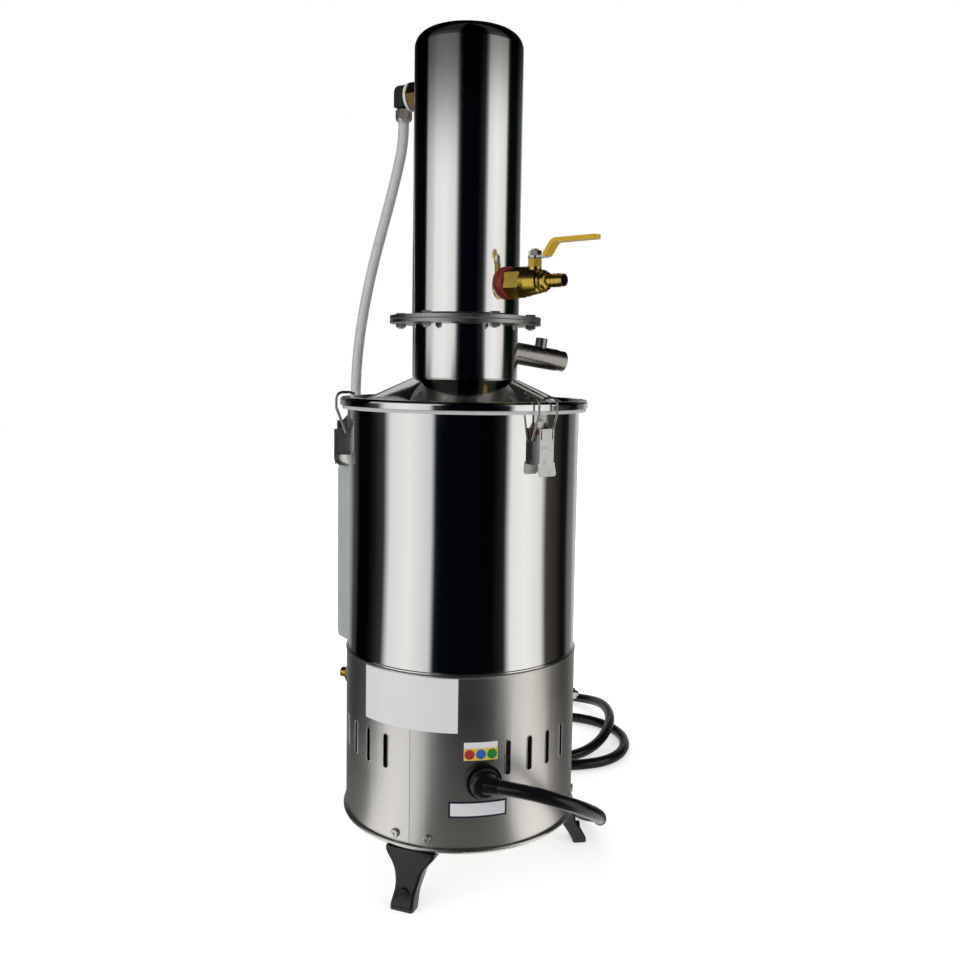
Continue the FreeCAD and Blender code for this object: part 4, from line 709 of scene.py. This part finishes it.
def nickel():
    """Plated screws and nuts: bright, with a slight wear."""
    f = Finish("nickel", (0.78, 0.76, 0.72), 1.0, 0.12)
    wear = f.noise(320, (1, 1, 1), 3, 0.5)
    f.set("Roughness", f.ramp(wear, 0.4, 0.75, 0.08, 0.24))
    f.relief(wear, 0.02, 0.0002)
    return f.material


def worn_nickel():
    """The hose nut: dull plating with warm metal showing through in spots."""
    f = Finish("worn_nickel", (0.74, 0.70, 0.62), 1.0, 0.35)
    rub = f.noise(350, (1, 1, 1), 3, 0.6)
    f.set("Base Color", f.blend(rub, (0.72, 0.62, 0.46), (0.96, 0.94, 0.90)))
    f.set("Roughness", f.ramp(rub, 0.3, 0.7, 0.40, 0.60))
    return f.material


def heater_steel():
    """The heaters' tubes: browned in blotches by their own heat."""
    f = Finish("heater_steel", (0.42, 0.38, 0.34), 1.0, 0.4)
    bloom = f.noise(60, (1, 1, 1), 4, 0.6)
    f.set("Base Color", f.blend(bloom, (0.30, 0.25, 0.22), (0.50, 0.47, 0.44)))
    f.set("Roughness", f.ramp(bloom, 0.3, 0.7, 0.3, 0.55))
    return f.material


# %% [markdown]
# ## Brass and copper
# The valve and its hose tail are turned brass, and the nut behind the elbow is brass painted dark
# brown as painted shade, for it faces away from the light. The clamps' rivets are copper. One
# metal shader with three colours would look like paint, so each has its own noise: fine for a cast
# skin, coarse for tarnish.

# %% Brass and copper


def brass():
    """Turned brass: bright on worn faces, a little browner in the hollows of its grain."""
    f = Finish("brass", (0.58, 0.41, 0.07), 1.0, 0.25)
    cast = f.noise(1500, (1, 1, 1), 3, 0.6)
    tarnish = f.noise(60, (1, 1, 1), 3, 0.5)
    f.set("Base Color", f.blend(tarnish, (0.50, 0.34, 0.05), (0.70, 0.51, 0.09)))
    f.set("Roughness", f.ramp(cast, 0.3, 0.7, 0.18, 0.32))
    f.relief(cast, 0.04, 0.0002)
    return f.material


def brass_painted_shade():
    """Brass painted dark brown as painted shade, with a few brighter spots from a noise."""
    f = Finish("brass_painted_shade", (0.24, 0.15, 0.05), 1.0, 0.4)
    stain = f.noise(300, (1, 1, 1), 4, 0.6)
    f.set("Base Color", f.blend(stain, (0.13, 0.075, 0.03), (0.36, 0.24, 0.09)))
    f.set("Roughness", f.ramp(stain, 0.3, 0.7, 0.3, 0.5))
    return f.material


def copper_rivet():
    """Copper gone brown in spots."""
    f = Finish("copper_rivet", (0.52, 0.24, 0.15), 1.0, 0.35)
    stain = f.noise(700, (1, 1, 1), 3, 0.5)
    f.set("Base Color", f.blend(stain, (0.34, 0.13, 0.08), (0.62, 0.30, 0.19)))
    f.set("Roughness", f.ramp(stain, 0.3, 0.7, 0.25, 0.45))
    return f.material


# %% [markdown]
# ## Rubber, plastic and paint
# Gaskets, feet, cable, buttons and the painted box differ in colour and gloss, and little else.
# So one function makes them all, from two close colours and a roughness. The hose is the only
# one that lets light through.

# %% Rubber, plastic and paint


def moulded(name, dark, light, roughness, scale=500, strength=0.12):
    """Rubber or plastic: a fine eggshell relief, and tone that drifts between two colours."""
    f = Finish(name, light, 0.0, roughness)
    pores = f.noise(scale, (1, 1, 1), 3, 0.5)
    drift = f.noise(30, (1, 1, 1), 2, 0.5)
    f.set("Base Color", f.blend(drift, dark, light))
    f.set("Roughness", f.ramp(pores, 0.3, 0.7, roughness - 0.06, roughness + 0.08))
    f.relief(pores, strength, 0.0003)
    return f.material


def hose_clear():
    """Milky silicone: part of the light goes through, and the surface stays a little cloudy."""
    f = Finish("hose_clear", (0.64, 0.65, 0.66), 0.0, 0.3, Transmission_Weight=0.35, IOR=1.41)
    cloud = f.noise(90, (1, 1, 0.3), 2, 0.5)
    f.set("Base Color", f.blend(cloud, (0.58, 0.595, 0.615), (0.70, 0.71, 0.725)))
    f.set("Roughness", f.ramp(cloud, 0.3, 0.7, 0.24, 0.4))
    return f.material


# %% Dress the CAD nodes
finishes = {
    "polished_steel": polished_steel(),
    "satin_steel": satin_steel(),
    "zinc_steel": zinc_steel(),
    "spring_wire": spring_wire(),
    "copper_rivet": copper_rivet(),
    "brass": brass(),
    "nickel": nickel(),
    "heater_steel": heater_steel(),
    "gasket_grey": moulded("gasket_grey", (0.10, 0.10, 0.10), (0.16, 0.16, 0.16), 0.5),
    "gasket_pale": moulded("gasket_pale", (0.56, 0.57, 0.57), (0.66, 0.67, 0.67), 0.45),
    "seal_white": moulded("seal_white", (0.74, 0.73, 0.70), (0.86, 0.85, 0.82), 0.5),
    "seal_red": moulded("seal_red", (0.20, 0.018, 0.014), (0.30, 0.035, 0.028), 0.45),
    "black_rubber": moulded("black_rubber", (0.003, 0.003, 0.004), (0.006, 0.006, 0.007), 0.25),
    "cable_black": moulded(
        "cable_black", (0.004, 0.004, 0.005), (0.007, 0.007, 0.009), 0.2, 900, 0.04),
    "core_wires": moulded("core_wires", (0.20, 0.09, 0.04), (0.30, 0.14, 0.07), 0.35),
    "foot_black": moulded("foot_black", (0.004, 0.005, 0.006), (0.008, 0.009, 0.010), 0.28),
    "sleeve_yellow": moulded(
        "sleeve_yellow", (0.60, 0.36, 0.004), (0.72, 0.46, 0.008), 0.32, 300, 0.05),
    "hose_clear": hose_clear(),
    "elbow_black": moulded("elbow_black", (0.004, 0.004, 0.004), (0.008, 0.008, 0.008), 0.35),
    "box_paint": moulded("box_paint", (0.44, 0.475, 0.49), (0.51, 0.545, 0.555), 0.4, 700, 0.1),
    "button_green": moulded("button_green", (0.02, 0.30, 0.08), (0.03, 0.38, 0.11), 0.3),
    "button_red": moulded("button_red", (0.52, 0.02, 0.02), (0.64, 0.03, 0.03), 0.3),
    "lamp_amber": moulded("lamp_amber", (0.75, 0.25, 0.02), (0.90, 0.36, 0.03), 0.15),
    "inner_black": moulded("inner_black", (0.03, 0.03, 0.033), (0.06, 0.06, 0.065), 0.5),
}
# Nodes of one slot whose metal looks different from the rest of it
own_finishes = {
    "lower_flange": plate_steel(),
    "outlet_pipe": pipe_steel(),
    # The elbow nut's dark brown brass is painted shade: the nut faces away from the light
    "elbow_nut": brass_painted_shade(),
    "hose_nut": worn_nickel(),
}
own_finishes["upper_flange"] = own_finishes["lower_flange"]


def dress_nodes():
    """Give every CAD node the finish that the record names for it."""
    wanted = {part["node"]: part["material_slot"] for part in frame["record"]["subparts"]}
    for name, node in nodes.items():
        finish = own_finishes.get(name, finishes[wanted[name]])
        if not node.material_slots:
            node.data.materials.append(finish)
        for slot in node.material_slots:
            slot.material = finish
    return len(wanted)


print("dressed", dress_nodes(), "nodes")

# %% [markdown]
# ## Mains cable and return hose
# Both are one smooth line with a round section. The points are the corners that the line cuts,
# the same as in the CAD model, and the spline is quadratic, so that it bends as a stiff rubber
# cable does: slowly, and never at a point.

# %% Cable and hose
cable_diameter = 0.012
hose_diameter = 0.010
quadratic = 3
steps_per_run = 12
section_steps = 6
# Heights of the cable's middle: on the floor, over its own loop, and at the foot of that hump
rest = cable_diameter / 2
hump = 0.0204
hump_foot = 0.0086
cable_start = (0.03352, -0.1186, 0.1116)
cable_route = [
    (0.0576, -0.1283, 0.1116),
    (0.0827, -0.1288, 0.1048),
    (0.1061, -0.1190, 0.0929),
    (0.1213, -0.1004, 0.0783),
    (0.1268, -0.0728, 0.0615),
    (0.1305, -0.0377, 0.0466),
    (0.1354, -0.0026, 0.0316),
    (0.1354, 0.0271, 0.0164),
    (0.1269, 0.0514, 0.0070),
    (0.1136, 0.0735, rest),
    (0.0942, 0.0925, rest),
    (0.0696, 0.1118, rest),
    (0.0425, 0.1359, rest),
    (0.0169, 0.1689, rest),
    (-0.0035, 0.2125, rest),
    (-0.0095, 0.2658, rest),
    (0.0039, 0.3225, rest),
    (0.0363, 0.3732, rest),
    (0.0823, 0.4081, rest),
    (0.1316, 0.4175, rest),
    (0.1719, 0.3954, hump_foot),
    (0.1923, 0.3426, hump),
    (0.1926, 0.2793, hump),
    (0.1659, 0.2244, hump_foot),
    (0.1212, 0.1916, rest),
    (0.0726, 0.1976, rest),
    (0.0413, 0.2352, rest),
    (0.0441, 0.2841, rest),
    (0.0788, 0.3230, rest),
    (0.1299, 0.3363, rest),
    (0.1771, 0.3183, rest),
    (0.2040, 0.2770, rest),
    (0.2024, 0.2286, rest),
    (0.1776, 0.1901, rest),
    (0.1364, 0.1749, rest),
    (0.0932, 0.1755, rest),
    (0.0672, 0.1828, rest),
]
hose_route = [
    (-0.0606, 0.0350, 0.6908),
    (-0.0606, 0.0350, 0.6740),
    (-0.0656, 0.0403, 0.6500),
    (-0.0746, 0.0460, 0.6160),
    (-0.0942, 0.0565, 0.5470),
    (-0.1064, 0.0665, 0.4810),
    (-0.1098, 0.0740, 0.4250),
    (-0.1086, 0.0775, 0.3790),
]


def spline_curve(name, route):
    """A quadratic spline: each of its runs is a parabola that touches two sides of the route."""
    data = bpy.data.curves.new(name, "CURVE")
    data.dimensions = "3D"
    spline = data.splines.new("NURBS")
    spline.points.add(len(route) - 1)
    for point, place in zip(spline.points, route):
        point.co = (*place, 1)
    spline.order_u = quadratic
    spline.use_endpoint_u = True
    data.resolution_u = steps_per_run
    return data


def cord_piece(name, route, diameter, material):
    """A round section carried along the spline."""
    data = spline_curve(name, route)
    data.bevel_depth = diameter / 2
    data.bevel_resolution = section_steps
    data.use_fill_caps = True
    data.materials.append(material)
    piece = bpy.data.objects.new(name, data)
    scene.collection.objects.link(piece)
    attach(piece, "distiller")
    return piece


def spline_length(route):
    """The length of the quadratic spline, from its curve evaluated without a section."""
    data = spline_curve("measure", route)
    holder = bpy.data.objects.new("measure", data)
    mesh = bpy.data.meshes.new_from_object(holder)
    places = np.empty(len(mesh.vertices) * 3)
    mesh.vertices.foreach_get("co", places)
    steps = np.diff(places.reshape(-1, 3), axis=0)
    bpy.data.objects.remove(holder)
    bpy.data.meshes.remove(mesh)
    bpy.data.curves.remove(data)
    return float(np.linalg.norm(steps, axis=1).sum())


whole_cable = [cable_start] + cable_route
cable_length = spline_length(whole_cable)
hose_length = spline_length(hose_route)
print("cable", round(cable_length, 3), "hose", round(hose_length, 3))
cable = cord_piece("mains_cable", whole_cable, cable_diameter, finishes["cable_black"])
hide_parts("power_cord", "cord_loops")
hose = cord_piece("water_hose", hose_route, hose_diameter, finishes["hose_clear"])
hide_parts("return_hose")

# %% [markdown]
# ## Stickers
# Thin sheets that follow the housing's curve, left bare: a large white one, a white and yellow
# one with three coloured dots, and a white one with a dark border. Each is a grid that is bent
# round the axis, a hair's breadth off the metal.

# %% Stickers
# The housing's rolled lip stands proud of its shell by this much
housing_lip = 0.0006
housing_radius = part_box("base_housing")[1][0] - housing_lip
sticker_lift = 0.00015
sheet_columns = 41
sheet_rows = 3
dot_columns = 32
dot_rings = np.linspace(0.02, 1, 4)
dot_layer = 3
sticker_white = moulded("sticker_white", (0.80, 0.81, 0.83), (0.86, 0.87, 0.88), 0.3, 900, 0.02)
sticker_yellow = moulded("sticker_yellow", (0.78, 0.56, 0.03), (0.84, 0.62, 0.05), 0.3, 900, 0.02)
sticker_border = moulded(
    "sticker_border", (0.010, 0.014, 0.035), (0.016, 0.020, 0.045), 0.3, 900, 0.02)
# Each sheet: azimuths of its sides, heights of its edges, layers off the metal, material
sheets = {
    "sticker_large": ((-50.4, -0.9), (0.1535, 0.2010), 1, sticker_white),
    "sticker_wiring": ((2.0, 17.6), (0.1296, 0.1455), 1, sticker_white),
    "sticker_wiring_band": ((2.2, 17.4), (0.1298, 0.1402), 2, sticker_yellow),
    "sticker_border": ((-4.7, 22.5), (0.0790, 0.0935), 1, sticker_border),
    "sticker_bordered": ((-3.8, 21.6), (0.0807, 0.0918), 2, sticker_white),
}
dot_radius = 0.0043
dot_height = 0.1350
# Each dot: azimuth of its middle, material
dots = {
    "sticker_dot_red": (4.6, moulded("dot_red", (0.50, 0.02, 0.02), (0.56, 0.03, 0.03), 0.3)),
    "sticker_dot_blue": (9.8, moulded("dot_blue", (0.01, 0.14, 0.52), (0.02, 0.17, 0.58), 0.3)),
    "sticker_dot_green": (15.0, moulded("dot_green", (0.01, 0.24, 0.04), (0.02, 0.28, 0.06), 0.3)),
}


def make_sheet(name, sides, edges, layers, material):
    """Azimuth by height, at the housing's radius and as many lifts off it as its layer."""
    azimuth = np.linspace(*sides, sheet_columns)
    height = np.linspace(*edges, sheet_rows)
    points = polar(azimuth[None, :], housing_radius + layers * sticker_lift, height[:, None])
    return grid_piece(name, points, material)


def make_dot(name, azimuth, material):
    """A round spot of rings about its middle: the way across, as an angle, and the way up."""
    turn = section_angles(dot_columns)
    ring = dot_radius * dot_rings[:, None]
    across = np.degrees(ring * np.cos(turn) / housing_radius)
    up = dot_height + ring * np.sin(turn)
    points = polar(azimuth + across, housing_radius + dot_layer * sticker_lift, up)
    return grid_piece(name, points, material, (False, True))


for name, facts in sheets.items():
    make_sheet(name, *facts)
for name, facts in dots.items():
    make_dot(name, *facts)
print("stickers", len(sheets), "sheets,", len(dots), "dots, on a radius of", round(housing_radius, 4))

# %% [markdown]
# ## Punched edges and the bead over the seam
# The slots are punched, so their edges are bare metal and catch the light, and the boiler's foot
# ends in a small round bead above the housing. Both are thin tubes: a small circle carried
# round an outline. The slots' outline is two half circles joined by straight sides.

# %% Slot edges and foot bead
lip_radius = 0.0011
seam_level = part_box("base_housing")[1][2] - lip_radius
slot_centre_drop = 0.0721
slot_level = seam_level - slot_centre_drop
# Azimuths: the middle of each group of slots, and the steps from it to the four slots
slot_groups = (-54.0, 40.2, 134.0, -148.0)
slot_steps = (-17.4, -5.8, 5.8, 17.4)
slot_outline_points = 40
slot_section_points = 6
bead_outline_points = 256
bead_section_points = 12
slot_half_width = 0.00265
slot_half_side = 0.01285
slot_edge_radius = 0.0005
foot_bead_radius = 0.0011
foot_bead_lift = 0.0022
boiler_radius = 0.1064


def slot_edge(azimuth):
    """The outline at angle t is (cos t, sin t) half widths, moved up or down by half a side.

    The section goes outwards in the sheet with its cosine, and off the sheet with its sine.
    The outline starts half a step on, so that no point of it lies between up and down."""
    half_step = half_turn / slot_outline_points
    turn = np.radians(around(slot_outline_points) + half_step)[:, None]
    section = section_angles(slot_section_points)[None, :]
    reach = slot_half_width + slot_edge_radius * np.cos(section)
    across = np.degrees(reach * np.cos(turn) / housing_radius)
    up = reach * np.sin(turn) + slot_half_side * np.sign(np.sin(turn))
    out = housing_radius + slot_edge_radius * np.sin(section) + 0 * turn
    return polar(azimuth + across, out, slot_level + up)


def make_slot_edges():
    """All the rings in one mesh: each ring's faces count on from the points before it."""
    rings = np.stack([slot_edge(group + step) for group in slot_groups for step in slot_steps])
    one = grid_faces(rings.shape[1], rings.shape[2], True, True)
    starts = np.arange(len(rings)) * rings.shape[1] * rings.shape[2]
    faces = (starts[:, None, None] + one).reshape(-1, 4)
    return mesh_piece("slot_edges", rings, faces, finishes["zinc_steel"])


def make_foot_bead():
    """A ring with a round section: radius and height follow the section's cosine and sine."""
    azimuth = around(bead_outline_points)[:, None]
    section = section_angles(bead_section_points)[None, :]
    radius = boiler_radius + foot_bead_radius * np.cos(section)
    height = seam_level + foot_bead_lift + foot_bead_radius * np.sin(section)
    points = polar(azimuth, radius, height)
    return grid_piece("foot_bead", points, finishes["polished_steel"], (True, True))


pieces = [make_slot_edges(), make_foot_bead()]
print("edges", [len(piece.data.polygons) for piece in pieces])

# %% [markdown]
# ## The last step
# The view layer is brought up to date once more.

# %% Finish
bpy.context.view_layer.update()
